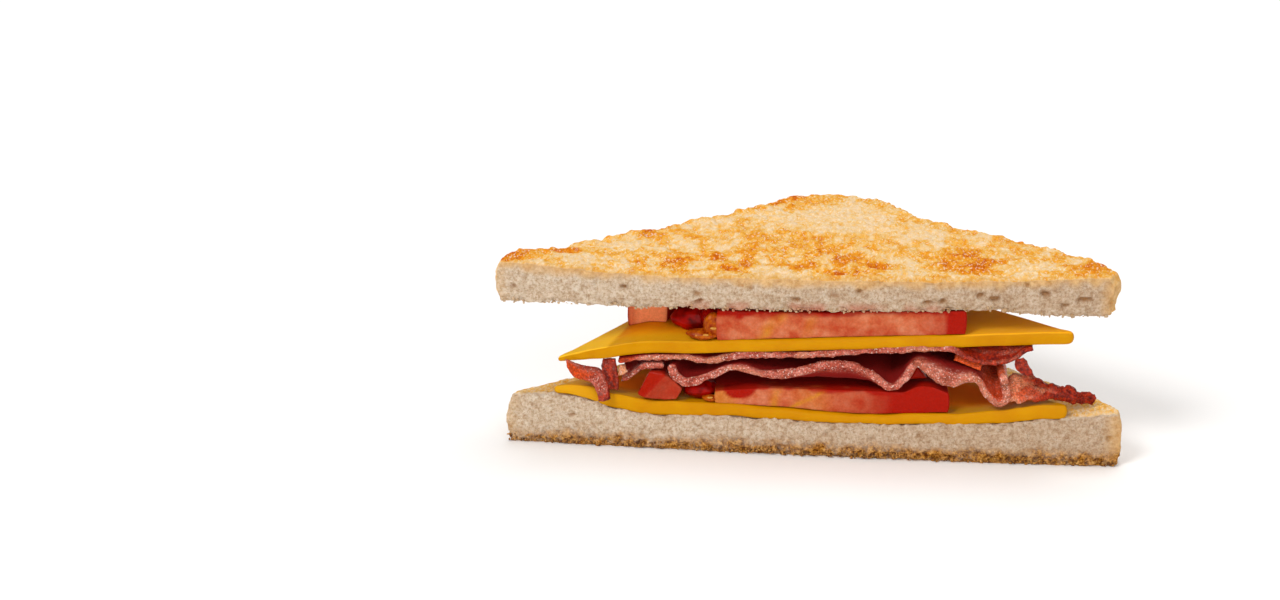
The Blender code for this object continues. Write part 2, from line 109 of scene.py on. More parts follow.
def ease(low, high, value):
    """Rises smoothly from 0 at low to 1 at high."""
    t = np.clip((value - low) / (high - low), 0, 1)
    return t * t * (3 - 2 * t)


def curve(places, values):
    """A smooth curve through the values at those places, as a function of the place."""
    slopes = np.gradient(values, places, axis=0)

    def at(place):
        place = np.clip(place, places[0], places[-1])
        i = np.clip(np.searchsorted(places, place) - 1, 0, len(places) - 2)
        width = places[i + 1] - places[i]
        t = (place - places[i]) / width
        return (
            (2 * t**3 - 3 * t**2 + 1) * values[i] + (t**3 - 2 * t**2 + t) * width * slopes[i]
            + (3 * t**2 - 2 * t**3) * values[i + 1] + (t**3 - t**2) * width * slopes[i + 1]
        )

    return at


def profile(points):
    """A smooth curve through (x, z) points, as a function of x."""
    return curve(*np.array(points, float).T)


def smooth_path(points, count):
    """count points spread evenly along a Catmull-Rom curve through the given ones."""
    points = np.array(points, float)
    p = [2 * points[0] - points[1], *points, 2 * points[-1] - points[-2]]
    fine = []
    for a, b, c, d in zip(p, p[1:], p[2:], p[3:]):
        t = np.linspace(0, 1, 24, endpoint=False)[:, None]
        bend = (2 * a - 5 * b + 4 * c - d) * t**2 + (3 * b - a - 3 * c + d) * t**3
        fine.append(0.5 * (2 * b + (c - a) * t + bend))
    fine = np.vstack([*fine, points[-1]])
    along = np.concatenate([[0], np.cumsum(np.linalg.norm(np.diff(fine, axis=0), axis=1))])
    steps = np.linspace(0, along[-1], count)
    return np.stack([np.interp(steps, along, fine[:, k]) for k in range(fine.shape[1])], axis=1)


def hashed(cell, seed):
    """A repeatable number from 0 to 1 for each whole-number cell."""
    n = cell[..., 0] * 73856093 ^ cell[..., 1] * 19349663 ^ cell[..., 2] * 83492791 ^ (seed * 40503 + 977)
    n &= 0xFFFFFFFF
    n = ((n ^ (n >> 15)) * 0x2C1B3C6D) & 0xFFFFFFFF
    n = ((n ^ (n >> 12)) * 0x297A2D39) & 0xFFFFFFFF
    return (n ^ (n >> 15)) / 0xFFFFFFFF


def noise(points, size, seed):
    """Smooth noise from -1 to 1 over (n, 3) points, with features about size wide."""
    place = points / size
    cell = np.floor(place).astype(np.int64)
    t = place - cell
    t = t * t * (3 - 2 * t)
    total = np.zeros(len(points))
    for corner in itertools.product((0, 1), repeat=3):
        weight = np.prod(np.where(corner, t, 1 - t), axis=1)
        total += weight * hashed(cell + np.array(corner), seed)
    return 2 * total - 1


def rough(points, size, octaves, seed):
    """Noise with finer and weaker layers added."""
    layers = (noise(points, size / 2**k, seed + 17 * k) / 2**k for k in range(octaves))
    return sum(layers) / (2 - 0.5 ** (octaves - 1))


def cells(points, size, seed):
    """For each point, how far the nearest scattered spot is, in cells, and that spot's own number."""
    place = points / size
    cell = np.floor(place).astype(np.int64)
    best = np.full(len(points), 9)
    number = np.zeros(len(points))
    for step in itertools.product((-1, 0, 1), repeat=3):
        near = cell + np.array(step)
        spot = near + np.stack([hashed(near, seed + k) for k in range(3)], axis=1)
        away = np.linalg.norm(place - spot, axis=1)
        number = np.where(away < best, hashed(near, seed + 3), number)
        best = np.minimum(best, away)
    return best, number


# ---- heights of the layers

bottom_slice_top = profile([
    (-75, 14.3), (-57, 12.8), (-46, 9.9), (-40, 9), (-34, 8.6), (-28, 9), (-14, 9.2), (-3, 9),
    (4, 8.7), (14, 8.9), (23, 9.1), (32, 9.6), (46, 10.1), (53, 10.9), (60, 11.7), (76, 12.2),
])
top_slice_under = profile([
    (-75, 35.7), (-52, 36.2), (-43, 35.9), (-30, 36.3), (0, 36.7), (34, 37.9), (45, 38.5), (54, 37.6),
    (75, 37.7),
])
top_slice_top = profile([(-75, 46.2), (-40, 44.4), (0, 44.8), (45, 45.9), (75, 47.6)])
lower_cheese_thick = profile([
    (-61, 2.8), (-30, 2.8), (-16, 2.4), (3, 2.1), (14, 1.6), (23, 1.9), (33, 2.1), (46, 2.5), (54, 2.8),
    (63, 2.8),
])
upper_cheese_top = profile([
    (-61, 22.8), (-48, 25.4), (-40, 27), (-30, 27.6), (0, 29.6), (34, 31.9), (64, 33.6),
])


def leg_distance(x, y, left, right):
    """How far inside the slice's two back edges a point is."""
    return np.minimum(x - left - y, right - x - y) / math.sqrt(2)


def bread_bottom_top(x, y):
    pressed = mix(bottom_slice_top(x), 10.5, ease(4, 30, y))
    inside = leg_distance(x, y, *FOOT_CORNERS)
    rim = mix(12.2, 13.2, ease(-60, -10, x))
    return mix(rim, pressed, ease(4, 13, inside))


def cheese_lower_under(x, y):
    return bread_bottom_top(x, y) + GAP - 0.4


def cheese_lower_top(x, y):
    thick = lower_cheese_thick(x) + 0.4
    return cheese_lower_under(x, y) + mix(0.5 * thick, thick, ease(-62, -48, x))


def cheese_upper_top(x, y):
    rise = 1.7 * ease(5, -26, x) * ease(-2, 12, y)
    folded_corner = 25.4 + 0.28 * (x + 48) + 0.075 * (y + 1.2)
    return np.minimum(upper_cheese_top(x) + rise, folded_corner)


def cheese_upper_under(x, y):
    return cheese_upper_top(x, y) - mix(1.3, UPPER_CHEESE_THICK, ease(-62, -46, x))


def bread_top_under(x, y):
    return mix(top_slice_under(x), 36.6 + 0.01 * x, ease(6, 30, y))


def upper_tomato_under(x, y):
    return cheese_upper_top(x, y) + 0.1


def upper_tomato_top(x, y):
    return bread_top_under(x, y) - 0.2 - 0.5 * ease(20, 0, x)


def lower_tomato_under(x, y):
    return cheese_lower_top(x, y) + 0.1


def lower_tomato_top(x, y):
    bulge = 1.7 * (ease(23, 28, x) - ease(29, 35, x)) * ease(12, 2, y)
    return 16.7 + 0.012 * x - 0.9 * ease(-8, -22, x) + bulge


# ---- outlines seen from above


def arc(centre, radius, start, end, steps=24):
    angles = np.radians(np.linspace(start, end, steps))
    return [(centre[0] + radius * math.cos(a), centre[1] + radius * math.sin(a)) for a in angles]


def closed_outline(chains, spacing):
    loop = []
    for chain in chains:
        length = sum(math.dist(a, b) for a, b in zip(chain, chain[1:]))
        loop += smooth_path(chain, max(2, round(length / spacing) + 1))[:-1].tolist()
    return np.array(loop)


def bow(x, left, right, depth):
    """The y of a front edge that comes forward by depth in its middle."""
    return -depth * (1 - (2 * (x - left) / (right - left) - 1) ** 2)


def cheese_outline(left, right, apex):
    cut = [(x, bow(x, left, right, CHEESE_BOW)) for x in np.linspace(left, right, 25)]
    legs = [(right, 0), *arc((apex[0], apex[1] - CHEESE_CORNER), CHEESE_CORNER, 45, 135, 5), (left, 0)]
    start, end = (mix(np.array(corner), np.array(leg), 0.04) for corner, leg in (legs[:2], legs[:-3:-1]))
    turns = [cut[-2], (right, 0.5), start], [end, (left, 0.5), cut[1]]
    chains = [cut[1:-1], turns[0], [start, legs[1]], legs[1:-1], [legs[-2], end], turns[1]]
    return closed_outline(chains, CHEESE_STEP)


def tomato_outline(radius, left_end, chamber_depth):
    centre = (TOMATO_CENTRE, TOMATO_FRONT)
    cut = [(left_end, TOMATO_FRONT), (centre[0] + radius, TOMATO_FRONT)]
    skin = arc(centre, radius, 0, 138)
    bend = [(left_end - back, TOMATO_FRONT + share * chamber_depth) for back, share in ((4, 0.7), (1, 0.3))]
    return closed_outline([cut, skin, [skin[-1], *bend, cut[0]]], TOMATO_STEP)


# ---- materials


def srgb(red, green, blue):
    """A linear colour from one written as 0 to 255."""
    scaled = [c / 255 for c in (red, green, blue)]
    return tuple(c / 12.92 if c <= 0.04045 else ((c + 0.055) / 1.055) ** 2.4 for c in scaled)


def opaque(colour):
    """A grey number or a linear colour as a socket takes it. What comes from another node stays as it is."""
    if isinstance(colour, bpy.types.NodeSocket):
        return colour
    return (*colour, 1) if isinstance(colour, tuple) else (colour, colour, colour, 1)


class Shader:
    """A material whose nodes are added one call at a time."""

    def __init__(self, name, roughness, **fixed):
        self.material = bpy.data.materials.new(name)
        self.material.use_nodes = True
        self.tree = self.material.node_tree
        self.principled = self.tree.nodes["Principled BSDF"]
        self.use(Roughness=roughness, **fixed)

    def feed(self, sockets, values):
        """Gives each socket its value, or a link from the node that makes it."""
        for name, value in values.items():
            if isinstance(value, bpy.types.NodeSocket):
                self.tree.links.new(value, sockets[name])
            else:
                sockets[name].default_value = value

    def use(self, **values):
        self.feed(self.principled.inputs, {name.replace("_", " "): value for name, value in values.items()})

    def node(self, kind, values, **settings):
        made = self.tree.nodes.new("ShaderNode" + kind)
        for key, value in settings.items():
            setattr(made, key, value)
        self.feed(made.inputs, values)
        return made

    def noise(self, size, detail=3, stretch=(1, 1, 1), roughness=0.55):
        """Noise in millimetres that stays on the object, drawn out along each axis by stretch."""
        coordinates = self.node("TexCoord", {}).outputs["Object"]
        scale = [1 / (MM * s) for s in stretch]
        place = self.node("Mapping", {"Vector": coordinates, "Scale": scale}).outputs[0]
        values = {"Vector": place, "Scale": 1 / size, "Detail": detail, "Roughness": roughness}
        return self.node("TexNoise", values).outputs["Fac"]

    def attribute(self, name):
        return self.node("Attribute", {}, attribute_name=name).outputs["Fac"]

    def maths(self, operation, a, b=0, c=0, clamp=False):
        return self.node("Math", {0: a, 1: b, 2: c}, operation=operation, use_clamp=clamp).outputs[0]

    def ramp(self, value, stops):
        """Colours along a 0 to 1 value. A stop is its place with a grey, or with red, green and blue."""
        made = self.node("ValToRGB", {"Fac": value})
        points = made.color_ramp.elements
        while len(points) < len(stops):
            points.new(0.5)
        for point, (at, *colour) in zip(points, stops):
            point.position = at
            point.color = opaque(srgb(*colour) if len(colour) == 3 else colour[0])
        return made.outputs["Color"]

    def blend(self, share, a, b, how="MIX"):
        values = {0: share, 6: opaque(a), 7: opaque(b)}
        return self.node("Mix", values, data_type="RGBA", blend_type=how).outputs[2]

    def where(self, name, colour, other):
        """colour, turned to other as far as the mesh's attribute of that name says."""
        return self.blend(self.attribute(name), colour, other)

    def bump(self, height, depth, strength=1):
        """depth is in millimetres."""
        values = {"Height": height, "Distance": depth * MM, "Strength": strength}
        self.use(Normal=self.node("Bump", values).outputs["Normal"])


def bread_material():
    """Pale crumb that toasts through gold to brown. The mesh says how toasted each point is, how deep in a
    pore, which is painted darker as shade, how much painted shade darkens it towards the right, how browned
    by the heat next to it or by the grill, and how stained by tomato."""
    s = Shader(
        "bread", 0.92, Specular_IOR_Level=0.12, Subsurface_Weight=0.12, Subsurface_Scale=0.8 * MM,
        Subsurface_Radius=(1, 0.6, 0.35),
    )
    grit = s.noise(1.1, 3, (1, 2.1, 1), roughness=0.6)
    fibre = s.noise(0.42, 2, (1, 2, 1))
    toast = s.attribute("toast")
    spread = s.maths("MULTIPLY_ADD", toast, 1.7, 0.1)
    swing = s.maths("ADD", s.maths("MULTIPLY", grit, 0.9), s.maths("MULTIPLY", fibre, 0.5))
    level = s.maths("MULTIPLY_ADD", s.maths("SUBTRACT", swing, 0.7), spread, toast)
    golden = s.ramp(level, [
        (0.14, 244, 216, 184), (0.28, 246, 206, 148), (0.4, 244, 186, 90),
        (0.54, 240, 162, 44), (0.76, 228, 132, 12), (1, 204, 94, 4),
    ])
    specks = s.ramp(s.noise(0.55, 1, (1, 2.2, 1)), [(0.57, 0), (0.67, 0.55)])
    flecked = s.blend(specks, golden, srgb(255, 238, 208))
    crumb_colour = s.ramp(s.noise(1.6, 4, roughness=0.65), [
        (0.3, 196, 169, 141), (0.46, 213, 191, 166), (0.66, 228, 212, 192),
    ])
    # Painted shade: the crumb is multiplied darker and browner towards the right, as light falls off across
    # the cut.
    falloff_shaded = s.where("falloff_shade", crumb_colour, s.blend(1, crumb_colour, (0.78, 0.69, 0.62), "MULTIPLY"))
    fluff = s.ramp(s.noise(0.7, 4, roughness=0.75), [(0.37, 216, 200, 182), (0.55, 255, 254, 252)])
    crumbly = s.blend(1, falloff_shaded, fluff, "MULTIPLY")
    coloured = s.blend(s.maths("MULTIPLY", toast, 4, clamp=True), crumbly, flecked)
    # Painted shade: pores and holes are coloured a darker brown, as shade in them.
    holes = s.blend(s.maths("MULTIPLY", s.attribute("pore"), 0.8), coloured, srgb(158, 110, 64))
    warm = s.ramp(grit, [(0.32, 234, 188, 124), (0.62, 206, 152, 84)])
    edged = s.where("warm", holes, warm)
    singed = s.ramp(s.maths("ADD", grit, s.maths("MULTIPLY_ADD", fibre, 0.6, -0.3)), [
        (0.3, 226, 170, 92), (0.46, 184, 122, 40), (0.64, 96, 46, 2),
    ])
    browned = s.where("singed", edged, singed)
    s.use(Base_Color=s.where("stain", browned, srgb(196, 104, 80)))
    fine = s.maths("MULTIPLY", s.noise(0.34), -0.45)
    s.bump(s.maths("MULTIPLY_ADD", grit, -0.7, fine), 0.9)
    return s.material


def cheese_material():
    """Smooth processed cheese. The mesh says where it is painted paler as light, and where it is painted a
    deeper orange as shade inside the sandwich.
    """
    s = Shader(
        "cheese", 0.32, Specular_IOR_Level=0.06, Subsurface_Weight=0.2, Subsurface_Scale=1.5 * MM,
        Subsurface_Radius=(1, 0.45, 0.08),
    )
    colour = s.ramp(s.noise(9, 4), [(0.3, 196, 128, 0), (0.7, 206, 144, 0)])
    # Painted light: paler where the corner facet faces the light, and where the top lies in the top slice's
    # shadow.
    paler_where_lit = s.where("painted_light", colour, srgb(252, 196, 40))
    # Painted shade: deeper orange inside the sandwich.
    s.use(Base_Color=s.where("inside", paler_where_lit, srgb(255, 128, 0)))
    sheen = s.ramp(s.noise(2.5), [(0.3, 0.26), (0.7, 0.40)])
    s.use(Roughness=s.where("inside", sheen, 0.75))
    s.bump(s.noise(1.6, 4), 0.05)
    return s.material


def tomato_material():
    """Salmon flesh, dark red skin and seed chambers, with yellow veins. The mesh says where each is, where
    a deeper red is painted as shade inside the sandwich, and where the flesh is painted paler as light.
    """
    s = Shader(
        "tomato", 0.2, Specular_IOR_Level=0.08, Subsurface_Weight=0.2, Subsurface_Scale=1.6 * MM,
        Subsurface_Radius=(1, 0.22, 0.12),
    )
    flesh = s.ramp(s.noise(2.6), [
        (0.3, 184, 72, 38), (0.5, 198, 104, 66), (0.72, 208, 128, 92),
    ])
    veined = s.where("vein", flesh, srgb(206, 136, 34))
    red = s.where("skin", veined, srgb(162, 18, 0))
    # Painted shade: deeper red inside the sandwich.
    deep = s.where("inside", red, srgb(176, 14, 0))
    # Painted light: paler on the cut face of the upper slice's wall.
    deep = s.where("lit", deep, srgb(255, 152, 100))
    fine = s.ramp(s.noise(0.5, 2), [(0.4, 0.92), (0.65, 1.06)])
    s.use(Base_Color=s.blend(1, deep, fine, "MULTIPLY"))
    wet = s.ramp(s.noise(1.4), [(0.35, 0.16), (0.65, 0.36)])
    s.use(Roughness=s.where("dull", wet, 0.9))
    s.bump(s.noise(0.8), 0.08)
    return s.material


def bacon_material():
    """Lean and fat in streaks along the rasher. The mesh says where it is fat, where it is crisped, and where
    it is painted darker as shade behind its front edge, where it is painted orange as light through it, and
    where it is painted dark red as shade inside the sandwich. Specks of painted highlight sparkle on it."""
    s = Shader(
        "bacon", 0.34, Specular_IOR_Level=0.24, Subsurface_Weight=0.12, Subsurface_Scale=0.8 * MM,
        Subsurface_Radius=(1, 0.3, 0.2),
    )
    lean = s.ramp(s.noise(1.5, 4, (2.4, 1.2, 1)), [
        (0.3, 124, 34, 18), (0.45, 182, 80, 60), (0.6, 206, 116, 98), (0.76, 232, 168, 150),
    ])
    fatty = s.where("fat", lean, srgb(222, 154, 112))
    # Painted light: orange where light would shine through the meat.
    lit_through = s.where("orange", fatty, srgb(222, 76, 4))
    # Crisped brown, which also serves as painted shade behind the front edge.
    crisp_and_shade = s.ramp(s.noise(1), [(0.35, 100, 6, 0), (0.65, 188, 48, 8)])
    browned = s.where("crisp_and_shade", lit_through, crisp_and_shade)
    spots = s.ramp(s.noise(0.45, 2), [(0.38, 0.7), (0.52, 1), (0.64, 1.3)])
    spotted = s.blend(1, browned, spots, "MULTIPLY")
    # Painted highlights: light pink specks as glints, dulled on the orange and crisped parts.
    glints = s.ramp(s.noise(0.4, 1), [(0.61, 0), (0.68, 0.75)])
    dull = s.maths("MULTIPLY", s.maths("ADD", s.attribute("orange"), s.attribute("crisp_and_shade")), 0.95, clamp=True)
    glints = s.blend(dull, glints, 0)
    sparkling = s.blend(glints, spotted, srgb(250, 218, 204))
    # Painted shade: dark red inside the sandwich.
    s.use(Base_Color=s.where("inside", sparkling, srgb(132, 8, 0)))
    wet = s.ramp(s.noise(0.6), [(0.35, 0.14), (0.65, 0.46)])
    s.use(Roughness=s.where("inside", wet, 0.85))
    s.bump(s.noise(0.5, 4, roughness=0.7), 0.4)
    return s.material


def gel_material():
    """The wet jelly of the seed chambers: amber, or red where the mesh says so."""
    s = Shader(
        "tomato_gel", 0.3, Specular_IOR_Level=0.16, IOR=1.36, Subsurface_Weight=0.3,
        Subsurface_Radius=(0.003, 0.001, 0.0004),
    )
    amber = s.ramp(s.noise(1), [(0.35, 132, 34, 2), (0.65, 188, 92, 4)])
    red = s.ramp(s.noise(2.2, 2), [(0.35, 104, 2, 0), (0.65, 176, 10, 2)])
    s.use(Base_Color=s.where("red", amber, red))
    s.bump(s.noise(1.2), 0.12)
    return s.material


def seed_material():
    s = Shader("tomato_seed", 0.25, Specular_IOR_Level=0.4)
    s.use(Base_Color=s.ramp(s.noise(0.8), [(0.35, 186, 116, 24), (0.65, 214, 156, 62)]))
    s.bump(s.noise(0.3), 0.05)
    return s.material


def floor_material():
    s = Shader("floor", 0.9, Specular_IOR_Level=0.1)
    s.use(Base_Color=s.ramp(s.noise(60, 2), [(0.3, 252, 250, 248), (0.7, 255, 253, 251)]))
    return s.material


# ---- making pieces


def linked(name, data):
    obj = bpy.data.objects.new(name, data)
    bpy.context.scene.collection.objects.link(obj)
    return obj


def add_mesh(name, points, faces, material, marks):
    """A mesh from points in working millimetres, moved into the part's frame."""
    mesh = bpy.data.meshes.new(name)
    mesh.from_pydata(((points - ORIGIN) * MM).tolist(), [], faces)
    mesh.validate()
    for label, values in marks.items():
        layer = mesh.attributes.new(label, "FLOAT", "POINT")
        layer.data.foreach_set("value", np.asarray(values, np.float32))
    mesh.shade_smooth()
    mesh.materials.append(material)
    return linked(name, mesh)


def add_piece(name, points, faces, material, marks, slot, *nodes):
    """A piece in place of some nodes, or of none. No crumb of it makes the part larger."""
    low, high = (np.array(corner) / MM + ORIGIN for corner in CAD_BOX)
    obj = add_mesh(name, np.clip(points, low + 0.01, high - 0.01), faces, material, marks)
    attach(obj, "root")
    if nodes:
        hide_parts(*nodes)


def ring_faces(rings, count):
    """Quads between rings of count points each."""
    faces = []
    for start in range(0, (rings - 1) * count, count):
        for i in range(count):
            j = (i + 1) % count
            faces.append((start + i, start + j, start + count + j, start + count + i))
    return faces


def normals(points, faces):
    """The normal at each point of a mesh of triangles or quads."""
    mesh = bpy.data.meshes.new("normals")
    mesh.from_pydata(points.tolist(), [], faces)
    found = np.empty(len(points) * 3)
    mesh.vertex_normals.foreach_get("vector", found)
    bpy.data.meshes.remove(mesh)
    return found.reshape(-1, 3)


# ---- bread

TOAST_PATCHES = [
    # x, y, half width, half depth, how much more toasted
    (-37, 7, 4, 3, 0.22), (-30, 13, 5, 3.5, 0.26), (-24, 16, 5, 3, 0.26), (-19, 7, 4.5, 4.5, 0.34),
    (-13, 22, 5, 4, 0.14), (-3, 9, 4, 3, 0.2), (5, 15, 7, 5, 0.2), (7, 3, 3.5, 3, 0.26),
    (15, 7, 4, 4, 0.3), (31, 14, 2.5, 4, 0.3), (38, 9, 4.5, 4, 0.3), (37, 19, 3.5, 4, 0.22),
    (44, 14, 4, 5, 0.14), (-42, 33, 4, 5, 0.24), (-60, 15, 4, 3, 0.16), (-8, 64, 6, 5, 0.16),
    (3, 30, 6, 4, 0.1), (-74, 6, 4, 8, 0.16), (66, 8, 5, 6, 0.14), (-56, 8, 7, 4, -0.2),
    (-46, 23, 7, 6, -0.2), (-7, 1, 7, 3, -0.24), (8, 48, 16, 12, -0.18), (26, 34, 6, 7, -0.16),
    (23, 8, 3, 6, -0.2), (54, 9, 6, 5, -0.18), (-14, 50, 8, 8, -0.12), (6, 58, 8, 6, -0.1),
]


def remeshed(node, voxel, smoothing):
    """A CAD node's surface as an even mesh: its points in working millimetres, its faces and its normals."""
    obj = linked("remesh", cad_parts[node].data.copy())
    remesh = obj.modifiers.new("remesh", "REMESH")
    remesh.mode = "VOXEL"
    remesh.voxel_size = voxel * MM
    soften = obj.modifiers.new("soften", "SMOOTH")
    soften.factor = 0.5
    soften.iterations = smoothing
    mesh = bpy.data.meshes.new_from_object(obj.evaluated_get(bpy.context.evaluated_depsgraph_get()))
    points = np.empty(len(mesh.vertices) * 3)
    mesh.vertices.foreach_get("co", points)
    faces = [tuple(polygon.vertices) for polygon in mesh.polygons]
    for used in (obj.data, mesh):
        bpy.data.meshes.remove(used)
    points = points.reshape(-1, 3) / MM + ORIGIN
    return points, faces, normals(points, faces)


def crumb(points, facing):
    """How far the crumb's lumps and pores move a surface, and how deep in a pore each point is, where the
    material paints shade.
    """
    warped = points + 0.6 * np.stack([noise(points, 1.1, seed) for seed in (1, 2, 3)], axis=1)
    small, small_number = cells(warped * [0.8, 1, 1.1], 1.5, 11)
    large, large_number = cells(warped * [0.6, 1, 1.2], 3, 23)
    pore = ease(0.5, 0.08, small) * (small_number > 0.55)
    hole = ease(0.32, 0.05, large) * (large_number > 0.62)
    depth = np.maximum(0.3 * pore, 0.9 * hole) * facing
    lumps = (0.42 * rough(points, 1.2, 2, 5) + 0.2 * rough(points, 3.5, 2, 7)) * facing
    return lumps - 0.35 * pore * facing - 0.55 * hole * facing, np.clip(depth, 0, 1)


def patches(x, y):
    """Named browner and paler patches on the toasted face."""
    total = np.zeros_like(x)
    flat = np.column_stack([x, y, 0 * x])
    x = x + 1.4 * rough(flat, 4, 2, 191)
    y = y + 1.6 * rough(flat, 4, 2, 193)
    for px, py, wide, deep, amount in TOAST_PATCHES:
        total += amount * np.exp(-(((x - px) / wide) ** 2) - ((y - py) / deep) ** 2)
    return total


def blotches(points, size, seed):
    """Noise with firm borders between its high and low places, from -1 to 1."""
    return 2 * ease(-0.35, 0.35, rough(points, size, 3, seed)) - 1


CUT_HOLES = [
    # x, height above the slice's under face, half width, half height
    (51.4, 7, 0.6, 0.45), (55.7, 5.3, 0.9, 0.6), (64.6, 4.4, 1.7, 0.55), (71, 3.8, 0.8, 1.3),
    (43.8, 2.8, 1.1, 0.7), (40.5, 3.8, 1.1, 0.55), (31.8, 2.7, 1, 0.5), (28.3, 2.5, 1.3, 0.45),
    (-25.7, 1.7, 0.9, 0.55), (-2.3, 3, 0.7, 0.5), (60.2, 3, 0.8, 0.45), (-44, 5.2, 0.8, 0.5),
    (12.4, 5.4, 0.7, 0.45),
]


def cut_holes(x, height):
    """How deep in one of the named holes of the upper cut each point is."""
    depth = np.zeros_like(x)
    for hole_x, hole_height, wide, tall in CUT_HOLES:
        away = np.hypot((x - hole_x) / wide, (height - hole_height) / tall)
        depth = np.maximum(depth, ease(1.4, 0.7, away))
    return depth


def tomato_stain(points):
    """How wet with tomato the upper slice's low edge is."""
    x = points[:, 0]
    return ease(-34, -20, x) * ease(38, 26, x) * np.clip(0.35 + 1.2 * noise(points, 3, 67), 0, 1)


def slice_parts(points, out):
    """How far each point belongs to a slice's top, underside, cut face, and sides with the cut face."""
    up, down = ease(0.45, 0.85, out[:, 2]), ease(0.45, 0.85, -out[:, 2])
    cut = ease(0.3, 0.8, -out[:, 1]) * (points[:, 1] < 3)
    return up, down, cut, (1 - up) * (1 - down)


def add_bread_top(material):
    points, faces, out = remeshed("bread_top", TOP_VOXEL, 3)
    x, y, z = points.T
    up, down, cut, side = slice_parts(points, out)
    below_top = z - top_slice_top(x)
    rim = ease(6.5, 1, leg_distance(x, y, *LID_CORNERS))
    move, pore = crumb(points, np.clip(0.9 * cut + 0.3 * up + 0.6 * down + 0.4, 0, 1))
    hole = cut_holes(x + 0.5 * noise(points, 1.4, 201), z - top_slice_under(x)) * cut
    move -= 0.9 * hole
    # The named holes are also painted darker as shade, through the pore mark.
    pore = np.maximum(pore, hole)
    move += 0.3 * rough(points, 7, 2, 31) * (1 - down)
    move += (side * (1 - cut) + up * rim) * (0.5 * noise(points, 3.4, 33) + 0.35 * noise(points, 1.6, 35))
    lower_edge = ease(1.6, 0, z - bread_top_under(x, y)) * np.maximum(side, 0.3 * down)
    move += lower_edge * (0.8 * noise(points, 2.3, 41) + 0.4 * noise(points, 1, 43))
    blotch = blotches(points * [0.9, 0.7, 1], 3.4, 53)
    fleck = blotches(points * [1, 0.6, 1], 1.6, 151)
    toast = 0.4 + 1.15 * patches(x, y) * (1 + 0.5 * blotch) + 0.12 * blotch + 0.08 * fleck
    toast += 0.07 * rough(points, 11, 2, 55) + 0.16 * rim * (0.8 + 0.5 * noise(points, 4, 59))
    grains = noise(points, 1.5, 47) + 0.5 * noise(points, 0.9, 171)
    move += up * (0.34 * grains + 0.16 * noise(points, 2.4, 49) - 0.2 * (toast - 0.45))
    near_cut = ease(2.2, -0.8, y + 0.8 * noise(points, 2, 161)) * up
    toast = mix(toast, 0.42, 0.75 * near_cut)
    bent = ease(-2.6, 0.4, below_top) * np.maximum(cut, up * ease(2, -1.5, y))
    move -= 0.35 * bent
    wide = rough(points, 9, 3, 57)
    side_toast = 0.24 + 0.1 * wide + 0.22 * ease(-3.5, 0, below_top)
    level = up * np.maximum(toast, 0.27) + down * (0.04 + 0.04 * wide) + side * (1 - cut) * side_toast
    upper_edge = 0.8 * ease(-2.7, -0.2, below_top + 0.9 * noise(points, 2.4, 61)) * cut
    ends = ease(5, 0.5, np.minimum(x - LID_LEFT, LID_RIGHT - x) + 0.5 * wide)
    warm = np.maximum(upper_edge, ends * (1 - up) * mix(0.35, 0.75, ease(-40, 40, x)))
    low_band = ease(3.2, 0.2, z - top_slice_under(x))
    stain = 0.75 * np.maximum(cut, 0.6 * down) * low_band * tomato_stain(points)
    points = points + out * move[:, None]
    # Painted shade, growing towards the right, on all but the top face.
    falloff_shade = 0.65 * ease(-70, 60, x)
    warm = np.maximum(warm, 0.55 * near_cut)
    pore = pore * (1 - 0.9 * up)
    marks = {"toast": level, "pore": pore, "falloff_shade": falloff_shade * (1 - up), "warm": warm, "stain": stain}
    add_piece("bread_top_toasted", points, faces, material, marks, "toast", "bread_top")


def add_bread_bottom(material):
    points, faces, out = remeshed("bread_bottom", BOTTOM_VOXEL, 3)
    x, y, z = points.T
    up, down, cut, side = slice_parts(points, out)
    move, pore = crumb(points, np.clip(0.9 * cut + 0.2 * up + 0.4, 0, 1))
    height = z + 1.1 * noise(points, 4, 71) + 0.5 * noise(points, 1.2, 72)
    foot = ease(4.3, 1.1, height - 0.6 * ease(-60, 40, x))
    move += 0.25 * rough(points, 6, 2, 73) * side
    move += side * foot * (0.55 * noise(points, 1.3, 79) + 0.4 * noise(points, 0.8, 83))
    wide = rough(points, 7, 3, 97)
    level = side * 0.12 * (1 - cut) + up * (0.34 + 0.1 * wide) * ease(0, 2, y) + down * 0.5
    ends = ease(6, 0.5, np.minimum(x - CUT_LEFT, CUT_RIGHT - x) + 0.6 * wide)
    warm = ends * mix(0.3, 0.75, ease(-40, 40, x)) * (1 - up)
    singed = side * foot * (0.85 + 0.4 * noise(points, 1.5, 89)) + down * (0.7 + 0.2 * wide)
    singed *= mix(0.35, 1, ease(-74, -50, x + 5 * noise(points, 4, 99)))
    upper_lip = ease(1.6, 0.2, bread_bottom_top(x, y) - z) * ease(3, 0.5, y)
    move += upper_lip * (0.45 * noise(points, 1.8, 163) + 0.3 * noise(points, 0.9, 167) - 0.15)
    raised = np.maximum(0, noise(points, 1.7, 103) + 0.6 * noise(points, 0.9, 107))
    points = points + out * move[:, None]
    points[:, 2] += raised * ease(1.4, 0, z) * side
    # Painted shade: hollows in the foot are made darker through the pore mark.
    foot_hollow_shade = 0.6 * foot * ease(0.25, 0.6, noise(points, 1, 109))
    pore = np.clip(pore + foot_hollow_shade, 0, 1)
    # Painted shade, growing towards the right, weaker on the top face.
    falloff_shade = 0.7 * ease(-75, 70, x) * (1 - 0.5 * up)
    marks = {"toast": level, "pore": pore, "falloff_shade": falloff_shade, "warm": warm, "singed": np.clip(singed, 0, 1)}
    add_piece("bread_bottom_toasted", points, faces, material, marks, "toast", "bread_bottom")


